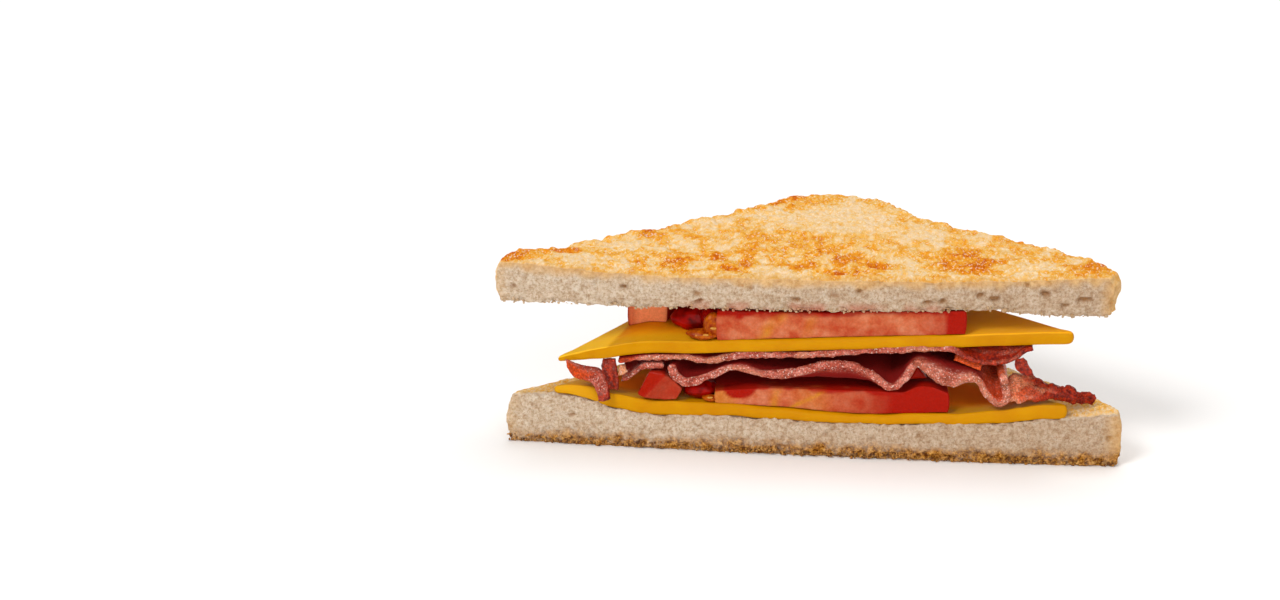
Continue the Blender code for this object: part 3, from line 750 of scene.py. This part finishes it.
def add_crumbs(material):
    """Loose grains that fray the lower edges of both slices along the cut."""
    draw = np.random.default_rng(4)
    top, foot = [], []
    for k in range(TOP_CRUMBS):
        x = draw.uniform(LID_LEFT + 2, LID_RIGHT - 2)
        size = draw.uniform(0.12, 0.34) * (1 + 1.2 * (draw.random() > 0.96))
        y = bow(x, LID_LEFT, LID_RIGHT, CUT_BOW) + draw.uniform(0.1, 1.6)
        place = (x, y, top_slice_under(x) + draw.uniform(-0.1, 0.9))
        top.append(blob(place, size * draw.uniform(0.7, 1.5, 3), 1, 0.9, 400 + k))
    for k in range(FOOT_CRUMBS):
        x = draw.uniform(CUT_LEFT + 1, CUT_RIGHT - 1)
        size = draw.uniform(0.16, 0.4)
        place = (x, bow(x, CUT_LEFT, CUT_RIGHT, CUT_BOW) + draw.uniform(-0.1, 0.4), draw.uniform(0.3, 2))
        foot.append(blob(place, size * draw.uniform(0.7, 1.5, 3), 1, 0.9, 900 + k))
    for name, grains, singed in (("crumbs_top", top, 0), ("crumbs_foot", foot, 0.9)):
        points, faces = joined(grains)
        above = 0 if singed else 1
        # Painted shade, growing towards the right, as on the slices.
        falloff_shade = (1 - 0.35 * above) * ease(-70, 60, points[:, 0])
        stain = 0.6 * above * tomato_stain(points)
        marks = {"falloff_shade": falloff_shade, "warm": 0.3 * above + 0 * falloff_shade, "stain": stain, "singed": singed + 0 * falloff_shade}
        add_piece(name, points, faces, material, marks, "toast")


# ---- cheese and tomato


def slab(outline, low, high, rim, inner=26):
    """A flat piece with a round edge, as rings from the middle of its under face to that of its top."""
    centre = outline.mean(axis=0)
    away = outline - centre
    reach = np.linalg.norm(away, axis=1, keepdims=True)
    factors = np.sin(np.linspace(0.04, math.pi / 2, inner))
    rows = [(f, rim, 0) for f in factors]
    rows += [(1, rim * (1 - math.cos(a)), 0.5 + 0.5 * math.sin(a)) for a in np.linspace(-1.45, 1.45, 11)]
    rows += [(f, rim, 1) for f in factors[::-1]]
    loops = []
    for factor, inset, share in rows:
        flat = centre + away * factor * (1 - inset / reach)
        z = mix(low(*flat.T), high(*flat.T), share)
        loops.append(np.column_stack([flat, z]))
    count = len(outline)
    points = np.vstack([*loops, [*centre, low(*centre)], [*centre, high(*centre)]])
    faces = ring_faces(len(rows), count)
    last = (len(rows) - 1) * count
    for i in range(count):
        j = (i + 1) % count
        faces.append((j, i, len(points) - 2))
        faces.append((last + i, last + j, len(points) - 1))
    return points, faces, normals(points, faces)


def add_cheese(material):
    for name, corners, low, high, wave in (
        ("cheese_lower", (-61.2, 62.4, (0.6, 61.8)), cheese_lower_under, cheese_lower_top, 0.35),
        ("cheese_upper", (-60.2, 62.9, (4.8, 59.6)), cheese_upper_under, cheese_upper_top, 0.12),
    ):
        outline = cheese_outline(*corners)
        points, faces, out = slab(outline, low, high, 1.1, 44)
        x, y = points.T[:2]
        along = np.column_stack([x, 0 * x, 0 * x])
        front = ease(6, 0, y)
        points[:, 2] += wave * (noise(along, 9, 113) + 0.5 * noise(along, 4, 117)) * front
        if name == "cheese_lower":
            points[:, 2] -= 0.35 * ease(0.3, -0.6, out[:, 2])
        points += out * (0.08 * rough(points, 4, 2, 127))[:, None]
        # Painted shade: deeper orange further inside the sandwich.
        inside = ease(1.5, 7, y) * ease(0, 6, leg_distance(x, y, outline[:, 0].min(), outline[:, 0].max()))
        crease = x + 48.0 - 5.0 * (y + 1.2) / 17 - 0.12 * y * ease(17, 0, y)
        upper = name == "cheese_upper"
        # Painted light: the corner facet left of the crease, which faces the light, is made paler.
        painted_light = ease(0.35, -0.35, crease) * ease(0.3, 0.6, out[:, 2]) * upper
        # The lower slice's left end is made a little paler too.
        ends = ease(-44, -56, x) * (not upper) * 0.3
        top = ease(0.3, 0.7, out[:, 2]) * upper
        # Painted light: the upper slice's top is made paler at the right, under the top slice's overhang, and
        # a little at the left.
        painted_top_light = ease(34, 40, x) * top
        # Painted shade is kept off the painted light and is weaker on the upper slice; a share is put back on
        # its lit top.
        inside *= (1 - painted_light) * (1 - painted_top_light) * (0.4 if upper else 1)
        inside += 0.32 * painted_top_light
        painted_top_light += 0.28 * ease(-20, -30, x) * top
        marks = {"painted_light": np.maximum(np.maximum(painted_light, ends), painted_top_light), "inside": inside}
        add_piece(name + "_slice", points, faces, material, marks, "cheese", name)


def add_tomato(name, outline, low, high, radius, paint, material):
    points, faces, out = slab(outline, low, high, 0.5)
    points += out * (0.14 * rough(points, 2.6, 3, 131))[:, None]
    x, y, z = points.T
    from_centre = np.hypot(x - TOMATO_CENTRE, y - TOMATO_FRONT)
    skin = ease(radius - 2.4, radius - 1.4, from_centre + 0.4 * noise(points, 2, 137))
    share = (z - low(x, y)) / (high(x, y) - low(x, y))
    red, vein = paint(x, share + 0.12 * noise(points, 2, 141), points)
    # Painted light: the wall's cut face is made paler, and kept out of the painted shade.
    faces_cut = ease(0.5, 0.9, -out[:, 1]) if name == "tomato_upper_wall" else 0
    # Painted shade: deeper red further inside the sandwich.
    inside = ease(1, 6, y - TOMATO_FRONT) * ease(1, 8, radius - from_centre) * (1 - faces_cut)
    dull = np.maximum(inside, ease(0.4, 0.8, out[:, 2]))
    marks = {
        "skin": np.clip(np.maximum(skin, red), 0, 1), "vein": np.clip(vein, 0, 1), "inside": 0.9 * inside,
        "dull": dull, "lit": 0.95 * faces_cut * (1 - np.clip(red, 0, 1)) + 0 * x,
    }
    add_piece(name + "_flesh", points, faces, material, marks, "tomato", name)


def vein_at(x, share, points, middle, lean, width, seed):
    """How near each point is to one yellow vein that runs up the cut."""
    off = x - middle - lean * (share - 0.5) + 0.8 * noise(points, 2.5, seed)
    return np.exp(-((off / width) ** 2)) * np.clip(0.6 + 0.8 * noise(points, 1.8, seed + 1), 0, 1)


def upper_flesh(x, share, points):
    """Deep red painted shade along the top under the bread, deep red at both ends, salmon between, with
    yellow flecks.
    """
    # Painted shade: a deeper red band along the top, under the bread.
    top_shade = ease(0.82, 0.98, share) * 0.8
    left = ease(-17, -20.5, x + 5 * share) * 0.5 + ease(0.72, 0.95, share) * ease(-4, -14, x)
    right = 0.55 * ease(22, 33, x) + 0.5 * ease(32.4, 33.4, x)
    blush = 0.22 * ease(-0.1, 0.5, noise(points, 6, 143))
    vein = 0.8 * vein_at(x, share, points, -8.5, 4, 1.6, 149)
    return top_shade + left + right + blush, vein + 0.6 * vein_at(x, share, points, 1, 2, 1, 151)


def wall_flesh(x, share, points):
    # Deeper red at the left end, painted shade along the top under the bread, and a little more red towards
    # the right.
    return 0.4 * ease(-41, -43, x) + 0.45 * ease(0.85, 1, share) + 0.2 * ease(-36, -34, x), 0 * x


def lower_flesh(x, share, points):
    """Amber at the left, a red pocket of jelly, veined salmon, deep red towards the skin, and a band of
    painted shade along the top.
    """
    amber = ease(-14.5, -19.5, x)
    pocket = ease(1, 0.7, np.hypot((x + 15.6) / 4.4, (share - 0.95) / 0.55))
    right = 0.3 * ease(2, 10, x) + 0.75 * ease(8, 26, x)
    # Painted shade: a deeper red band along the top, under the bacon.
    top_shade = ease(0.85, 1, share) * 0.8
    vein = 0.9 * vein_at(x, share, points, -7.3, 1, 1, 153)
    vein += 0.9 * vein_at(x, share, points, 0.8, 7, 0.9, 157)
    vein += 0.5 * amber + 0.25 * ease(-6, 2, x) * ease(8, 4, x)
    return pocket + right + top_shade + 0.08, vein * (1 - right)


def add_tomatoes(material):
    upper = tomato_outline(UPPER_TOMATO_RADIUS, -21.5, 30)
    lower = tomato_outline(LOWER_TOMATO_RADIUS, -21.8, 28)
    wall_centre = (TOMATO_CENTRE - 1.3, TOMATO_FRONT)
    outer = arc(wall_centre, UPPER_TOMATO_RADIUS, 165, 144, 8)
    inner = arc(wall_centre, UPPER_TOMATO_RADIUS - TOMATO_WALL, 144, 162, 8)
    wall = closed_outline([outer, [outer[-1], inner[0]], inner, [inner[-1], outer[0]]], TOMATO_STEP)[::-1]
    above = (upper_tomato_under, upper_tomato_top)
    below = (lower_tomato_under, lower_tomato_top)
    add_tomato("tomato_upper", upper, *above, UPPER_TOMATO_RADIUS, upper_flesh, material)
    add_tomato("tomato_upper_wall", wall, *above, UPPER_TOMATO_RADIUS + 1.3, wall_flesh, material)
    add_tomato("tomato_lower", lower, *below, LOWER_TOMATO_RADIUS, lower_flesh, material)


def add_chunks(material):
    """The wedge and the scrap of the lower slice, both cut with flat faces."""
    # The last number is painted shade over the whole piece: the scrap lies deeper in and is made deeper red.
    for name, ridge, deep in (("tomato_lower_wedge", -36, 0), ("tomato_lower_scrap", 40, 0.3)):
        points, faces, out = remeshed(name, CHUNK_VOXEL, 2)
        x, y, z = points.T
        across = x - ridge - 0.9 * (z - 16.5)
        facet = ease(0.35, -0.35, across + 0.2 * noise(points, 1.2, 159))
        points = points + out * (0.07 * rough(points, 2, 3, 157))[:, None]
        points[:, 1] -= 1.1 * np.exp(-((across / 2.6) ** 2)) * ease(3, 0, y)
        marks = {
            # The face left of the ridge is coloured a deeper red. Painted shade makes both deeper red further
            # back.
            "skin": 0.74 + 0.22 * facet, "inside": deep + 0.6 * ease(2, 6, y),
            "dull": ease(0.5, 0.9, out[:, 2]),
        }
        add_piece(name + "_flesh", points, faces, material, marks, "tomato", name)


# ---- bacon


# Each point's x and z, its place along and across a strip from 0 to 1, how deep behind the front edge it
# is, the strip's width, and noise that runs in streaks along it.
Strip = namedtuple("Strip", "x z u v deep width streak")


def rasher(name, edges, thick, spacing, material, paint, node, slot="bacon", ragged=0.3, crags=0, seed=0):
    """A strip lofted through its edge curves, thick in the middle and rounded at its edges. paint holds its
    marks, or gives them from a Strip."""
    length = max(np.linalg.norm(np.diff(np.array(edge, float), axis=0), axis=1).sum() for edge in edges)
    along = max(16, int(length / spacing))
    curves = [smooth_path(edge, along) for edge in edges]
    width = np.linalg.norm(curves[-1] - curves[0], axis=1).mean()
    across = max(8, int(width / (spacing * 1.4)))
    bend = curve(np.linspace(0, 1, len(curves)), np.array(curves))
    middle = np.array([bend(share) for share in np.linspace(0, 1, across)])
    if crags:
        lumps = [noise_vector(Vector(point) / CRAG_SIZE) for point in middle.reshape(-1, 3)]
        middle = middle + crags * np.array(lumps).reshape(middle.shape)
    face = np.cross(np.gradient(middle, axis=1), np.gradient(middle, axis=0))
    face /= np.linalg.norm(face, axis=2, keepdims=True)
    u = np.broadcast_to(np.linspace(0, 1, along), (across, along))
    v = np.broadcast_to(np.linspace(0, 1, across)[:, None], (across, along))
    from_edge = np.minimum(np.minimum(v, 1 - v) * width, np.minimum(u, 1 - u) * length)
    round_edge = np.sqrt(1 - (1 - np.clip(from_edge / (0.5 * thick), 0, 1)) ** 2 * 0.9)
    flat = middle.reshape(-1, 3)
    lip = np.exp(-v * width / 2)
    swell = 1 + 0.2 * noise(flat, 3.5, 211 + seed).reshape(across, along)
    swell += 0.45 * lip * noise(flat * [1, 0, 0], 6, 213 + seed).reshape(across, along)
    half = (0.5 * thick * round_edge * swell)[..., None]
    ring = np.concatenate([middle + face * half, (middle - face * half)[::-1]], axis=0)
    points = ring.transpose(1, 0, 2).reshape(-1, 3)
    uu, vv = (np.concatenate([side, side[::-1]], axis=0).T.reshape(-1) for side in (u, v))
    count = 2 * across
    faces = ring_faces(along, count)
    last = (along - 1) * count
    for k in range(across - 1):
        faces.append((k, count - 1 - k, count - 2 - k, k + 1))
        faces.append((last + k, last + k + 1, last + count - 2 - k, last + count - 1 - k))
    out = normals(points, faces)
    near_front = np.exp(-vv * width / 1.4)
    bumps = 0.17 * rough(points, 1.5, 3, 223 + seed) + 0.05 * noise(points, 0.5, 227 + seed)
    bumps += ragged * near_front * (noise(points, 1.7, 229 + seed) + noise(points, 0.8, 231 + seed))
    bumps += 0.6 * crags * rough(points, 1.3, 2, 237 + seed)
    points = points + out * bumps[:, None]
    streak = rough(np.column_stack([uu * length / 9, vv * width / 1.6, 0 * uu]), 1, 3, 233 + seed)
    strip = Strip(points[:, 0], points[:, 2], uu, vv, vv * width, width, streak)
    look = paint(strip) if callable(paint) else paint
    marks = {label: np.clip(values + 0 * uu, 0, 1) for label, values in look.items()}
    add_piece(name, points, faces, material, marks, slot, node)


upper_bacon_sag = profile([
    (-47, 0.3), (-40, 0.4), (-34, 0.3), (-29, 0.4), (-23, 1.5), (-19, 0.6), (-15, 0.2), (-8, 0.4), (3, 0.4),
    (12, 0), (54, 0),
])
upper_bacon_flap = profile([
    (30, 0), (35, 0.3), (38, 2.1), (41, 3.4), (47, 3.4), (49.5, 2.4), (51.5, 0.6), (54, 0),
])
upper_bacon_reach = profile([(-47, 10), (-30, 27), (0, 34), (30, 27), (54, 9)])
ruffled_bacon_reach = profile([(-33, 22), (-20, 30), (0, 34), (25, 30), (40, 20), (49, 14)])


def upper_bacon_height(x, y, share):
    ceiling = cheese_upper_under(x, y) - UPPER_BACON_THICK / 2
    flap = upper_bacon_flap(x) * ease(0.3, 0, share)
    return ceiling - flap - upper_bacon_sag(x) * (1 - 0.5 * share)


def ruffled_bacon_height(x, y, share, front):
    back = upper_bacon_height(x, y, 1) - (UPPER_BACON_THICK + RUFFLED_BACON_THICK) / 2 - GAP
    return mix(front, back, share)


def upper_bacon_rows():
    x = np.linspace(UPPER_BACON_LEFT, UPPER_BACON_RIGHT, 120)
    rows = []
    for share in (0, 0.12, 0.3, 0.5, 1):
        y = mix(-1.3, upper_bacon_reach(x), share)
        rows.append(np.column_stack([x, y, upper_bacon_height(x, y, share)]))
    return rows


def ruffled_bacon_rows():
    x, z, rise = np.array(RUFFLE).T
    rows = []
    for share, lift in ((0, 0), (0.08, 1), (0.3, 0.7), (0.5, 0.4), (1, 0)):
        y = mix(-1.6, ruffled_bacon_reach(x), share)
        height = ruffled_bacon_height(x, y, share, z + rise * lift)
        rows.append(np.column_stack([x * (1 - 0.05 * share), y, height]))
    return rows


def inner_shade(at, start, end):
    """How far a point is inside the sandwich, behind the strip's front edge and before its back one."""
    return ease(start, end, at.deep) * ease(1, 5, (1 - at.v) * at.width)


def paint_upper(at):
    flap = ease(33, 38, at.x)
    tip = ease(-39.5, -42.5, at.x)
    fat = 0.35 * ease(0.15, 0.5, at.streak) + 0.1 * flap * ease(0.1, 0.5, at.streak)
    # Painted shade, less on the flap.
    inside = inner_shade(at, 1, 3.5) * (1 - 0.8 * flap)
    # Crisped at the flap, and painted darker as shade further behind the front edge.
    crisp_and_shade = np.maximum(0.5 * ease(0.8, 3, at.deep), flap * (1 - 0.2 * ease(-0.1, 0.4, at.streak)))
    # Painted light: orange as light through the flap and the tip.
    orange = 0.15 * flap * ease(0, -0.4, at.streak) + 0.7 * tip
    return {"fat": fat, "inside": inside, "crisp_and_shade": np.maximum(crisp_and_shade, 0.6 * tip), "orange": orange}


def paint_ruffled(at):
    """Mauve where it shows. Its inner faces are painted dark red as shade, but painted orange as light in the
    folds at the right, and its wide face is made paler with more fat as painted light.
    """
    wide_face = ease(24, 27, at.x) * ease(42, 39, at.x)
    pocket = ease(40, 43, at.x)
    tail = ease(46.6, 47.4, at.x + 0.15 * (at.z - 18)) * ease(15.4, 17, at.z)
    inside = inner_shade(at, 1.2, 4.5) * (1 - wide_face) + inner_shade(at, 4, 8) * wide_face
    return {
        # Painted light: more fat on the wide face, which the flap above shades.
        "fat": 0.35 * ease(0.15, 0.5, at.streak) + 0.25 * tail + 0.15 * wide_face,
        "inside": inside * (1 - tail) * (1 - 0.7 * pocket),
        # Painted shade: darker behind the front edge, less on the wide face and none in the pocket.
        "crisp_and_shade": 0.45 * ease(0.5, 3, at.deep) * (1 - 0.6 * wide_face) * (1 - pocket),
        # Painted light: orange in the pocket's fold.
        "orange": 0.75 * pocket * ease(0.5, 2, at.deep),
    }


def paint_crisp_end(at):
    """Translucent fat and lean at its left, darker and crisper to a burnt tip."""
    return {
        "fat": 0.9 * ease(0.42, 0.12, at.u + 0.5 * at.streak),
        # Painted light: orange as light through it.
        "orange": 0.3 + 0.45 * ease(-0.1, 0.4, at.streak),
        "crisp_and_shade": ease(0.15, 0.7, at.u + 0.3 * at.v + 0.45 * at.streak),
    }


def paint_curl(at):
    """Painted orange as light through it where the curl opens, dark along its upper edge."""
    return {
        "orange": ease(0.6, 0.35, at.u) * ease(0.8, 0.45, at.v + 0.1 * at.streak),
        "crisp_and_shade": 0.25 + 0.6 * ease(0.72, 0.92, at.v) + 0.6 * ease(0.78, 0.9, at.u),
    }


def paint_inner_scrap(at):
    # Painted light: some orange, as light through it.
    return {"crisp_and_shade": 0.9, "orange": 0.35 * ease(0.1, 0.4, at.streak)}


def paint_fold(at):
    return {"inside": inner_shade(at, 1, 4), "fat": 0.3 * ease(0.1, 0.5, at.streak)}


def paint_fat(at):
    # Painted light: some orange, as light through it.
    return {"fat": 1, "orange": 0.2 * ease(0, 0.4, at.streak)}


def paint_rear(at):
    # Painted shade: dark red along the edge that faces into the sandwich.
    return {"fat": 0.4 * ease(0.1, 0.5, at.streak), "inside": ease(0.5, 0.1, at.v)}


SMALL_BACON = [
    # name, edge curves, thickness, lumps, finish
    ("bacon_crisp_end", [
        [(48.3, -0.9, 16), (52.2, -0.6, 15.7), (58.2, 1, 16.3), (64.2, 3.4, 15.1), (69, 5, 14.8)],
        [(48.4, 1.8, 19.4), (52.6, 2, 18.4), (58.6, 2.8, 17.5), (64.2, 4.8, 15.7), (69.2, 6.2, 14.9)],
        [(48.4, 4, 21.8), (52.6, 4.2, 20.6), (58.6, 4.4, 18.8), (64, 6.4, 16.1), (68.6, 7.4, 15.1)],
    ], 2.2, 0.8, paint_crisp_end),
    ("bacon_crisp_tab", [
        [(49.2, -2.9, 27), (49.3, -2.9, 25.4), (50.3, -2.9, 24.1), (51.8, -2.9, 23.2)],
        [(51.2, -2.8, 27.9), (52.2, -2.8, 26.6), (53.1, -2.8, 25.2), (53.7, -2.8, 23.6)],
    # Crisped, with a touch of painted shade.
    ], 1.2, 0.35, {"crisp_and_shade": 0.95, "inside": 0.1}),
    ("bacon_fat_sliver", [
        [(35, 0.7, 25.2), (38, 0.3, 24.2), (41.4, 0.1, 22.9)],
        [(35.4, 1.7, 26.3), (38.6, 1.3, 25.4), (41.8, 1.1, 24.3)],
    # Painted light: orange as light through it.
    ], 0.8, 0, {"orange": 0.9, "fat": 0.4}),
    ("bacon_left_curl", [
        [(-57.4, -2.5, 20.6), (-55.6, -2.6, 18.1), (-51.6, -2.6, 16.9), (-50.2, -2.6, 14.4),
         (-49.8, -2.7, 12.2)],
        [(-57.7, -2.3, 22), (-54.6, -1.7, 19.6), (-50.6, -1.4, 18.2), (-48.8, -1.9, 15.4),
         (-48.4, -2.5, 12.2)],
        [(-57.9, -2.2, 22.6), (-54.2, -0.8, 20.7), (-49.6, -0.2, 19.6), (-47.6, -1.3, 16.1),
         (-46.9, -2.4, 12.8)],
    ], 1.3, 0, paint_curl),
    ("bacon_left_tuck", [
        [(-49.6, 1.5, 15), (-49.4, 1.4, 17.5), (-49.4, 1.6, 19.6), (-49.3, 1.7, 21.8)],
        [(-47.3, 0.8, 14.3), (-47.2, 0.7, 17.2), (-47.4, 0.8, 19.8), (-47.4, 1, 22.1)],
        [(-45.3, 0, 14.4), (-45.2, -0.1, 17.4), (-45.6, 0.1, 19.8), (-46.1, 0.4, 22.2)],
    ], 0.9, 0.2, paint_inner_scrap),
    ("bacon_left_fold", [
        [(-44.5, 0.9, 16.3), (-42.4, 0.7, 17.4), (-40.4, 0.1, 19.5), (-38.4, -0.6, 20.9),
         (-34.2, -0.7, 21.2)],
        [(-44.4, 5, 18.9), (-42.2, 4.8, 19.6), (-40.4, 4.1, 20.4), (-38.4, 3.3, 21.1), (-34.4, 3, 21.6)],
        [(-44.2, 11, 20.3), (-42, 11.6, 20.5), (-40.2, 11.6, 20.7), (-38.2, 11.6, 21.1), (-34.6, 11.6, 21.4)],
    ], 1.4, 0, paint_fold),
    ("bacon_fat_end", [
        [(-44.9, -1.3, 18.7), (-44, -1.4, 19), (-42.9, -1.3, 19.8)],
        [(-45, -0.6, 19.8), (-44.1, -0.5, 20), (-43.3, -0.5, 20.2)],
        [(-45, 0.2, 20.7), (-44.2, 0.3, 20.8), (-43.6, 0.3, 20.8)],
    ], 0.9, 0, paint_fat),
]


def add_bacon(material):
    rasher("bacon_upper_rasher", upper_bacon_rows(), UPPER_BACON_THICK + 0.2, RASHER_STEP, material,
           paint_upper, "bacon_upper")
    rasher("bacon_ruffled_rasher", ruffled_bacon_rows(), RUFFLED_BACON_THICK, RASHER_STEP, material,
           paint_ruffled, "bacon_ruffled", seed=7)
    for k, (name, edges, thick, crags, paint) in enumerate(SMALL_BACON):
        slot = "bacon_fat" if "fat" in name else "bacon"
        rasher(name + "_piece", edges, thick, SMALL_STEP, material, paint, name, slot, 0.12, crags, 20 + k)
    rear = []
    for y, half in ((40.5, 25), (47, 19), (53, 13)):
        x = np.linspace(-half, half, 60)
        wave = 19.8 + 0.04 * x + 3 * np.sin(x * 0.42 + 0.8)
        rear.append(np.column_stack([x, y + 0.6 * np.sin(x * 0.5), wave]))
    rasher("bacon_rear_rasher", rear, REAR_BACON_THICK, REAR_STEP, material,
           paint_rear, "bacon_rear", seed=40)


# ---- seeds and gel


def blob(centre, radii, detail, amount, seed):
    """A lumpy ball as points and faces."""
    ball = bmesh.new()
    bmesh.ops.create_icosphere(ball, subdivisions=detail, radius=1)
    ball.verts.index_update()
    points = np.array([vert.co for vert in ball.verts])
    faces = [tuple(vert.index for vert in face.verts) for face in ball.faces]
    ball.free()
    lump = 1 + amount * rough(points + seed, 0.9, 2, seed)
    return points * lump[:, None] * radii + centre, faces


def joined(blobs):
    points, faces, start = [], [], 0
    for p, f in blobs:
        points.append(p)
        faces += [tuple(i + start for i in face) for face in f]
        start += len(p)
    return np.vstack(points), faces


JELLY_LUMPS = [
    # middle, radii, fineness, lumpiness, how red
    ((-24.8, 1, 29.2), (4, 2.6, 1.3), 4, 0.2, 0),
    ((-22.3, 0.9, 31.5), (2.6, 1.6, 3.2), 4, 0.2, 0),
    ((-22.8, 0.2, 13.2), (1.9, 1.4, 0.9), 4, 0.25, 0),
    ((-28, 7.5, 30.8), (6, 3, 3), 4, 0.3, 1),
    ((-22, 4.5, 32.5), (3.5, 3, 2.6), 4, 0.3, 1),
    ((-25.6, 3.6, 14.6), (4.8, 3.2, 2.4), 4, 0.3, 1),
]


def add_gel(jelly, seed):
    """Jelly and seeds where the cut goes through a seed chamber."""
    lumps = [blob(*row[:4], 301 + k) for k, row in enumerate(JELLY_LUMPS)]
    red = [0 * lump[:, 0] + row[4] for (lump, _), row in zip(lumps, JELLY_LUMPS)]
    add_piece("tomato_jelly", *joined(lumps), jelly, {"red": np.concatenate(red)}, "tomato")
    places = [(-26, -0.9, 29.3), (-24, -1.2, 29.7), (-22.2, -0.8, 31.3), (-22.9, -0.9, 13.7)]
    pips = [blob(place, (0.75, 0.3, 0.32), 2, 0.3, 310 + k) for k, place in enumerate(places)]
    add_piece("tomato_seeds", *joined(pips), seed, {}, "tomato")


# ---- the set


FLOOR_SIZE = 4000
SKY_STRENGTH = 0.24
SUNS = [
    # name, the way to it, strength, spread in degrees
    ("key", (-0.42, -0.5, 0.62), 1.5, 22),
    ("top", (0.1, 0.3, 1), 1.4, 45),
    ("fill", (0.3, -0.88, 0.36), 1.15, 50),
]
CAMERA_PLACE = Vector((0.025819, -0.579831, 0.215876))
CAMERA_TARGET = Vector((-0.040098, -0.035118, 0.037596))
CAMERA_LENS = 67.83


def add_floor():
    corners = FLOOR_SIZE * np.array([(-1, -1, 0), (1, -1, 0), (1, 1, 0), (-1, 1, 0)]) + ORIGIN
    floor = add_mesh("floor", corners, [(0, 1, 2, 3)], floor_material(), {})


def add_sun(name, way, strength, spread):
    """Soft light from far off, so that the floor is evenly white."""
    light = bpy.data.lights.new(name, "SUN")
    light.energy = strength
    light.angle = math.radians(spread)
    linked(name, light).rotation_euler = Vector(way).to_track_quat("Z", "Y").to_euler()


def add_set():
    add_floor()
    for sun in SUNS:
        add_sun(*sun)
    world = bpy.data.worlds.new("studio")
    world.use_nodes = True
    sky = world.node_tree.nodes["Background"].inputs
    sky["Color"].default_value = (1, 1, 1, 1)
    sky["Strength"].default_value = SKY_STRENGTH
    scene = bpy.context.scene
    scene.world = world
    scene.view_settings.view_transform = "Standard"
    camera = bpy.data.cameras.new("camera")
    camera.lens, camera.sensor_width, camera.clip_start = CAMERA_LENS, 36, 0.01
    scene.camera = linked("camera", camera)
    scene.camera.location = CAMERA_PLACE
    scene.camera.rotation_euler = (CAMERA_TARGET - CAMERA_PLACE).to_track_quat("-Z", "Y").to_euler()


def main():
    seed_set(LUMP_SEED)
    bread = bread_material()
    add_bread_top(bread)
    add_bread_bottom(bread)
    add_crumbs(bread)
    add_cheese(cheese_material())
    tomato = tomato_material()
    add_tomatoes(tomato)
    add_chunks(tomato)
    add_bacon(bacon_material())
    add_gel(gel_material(), seed_material())
    add_set()


main()
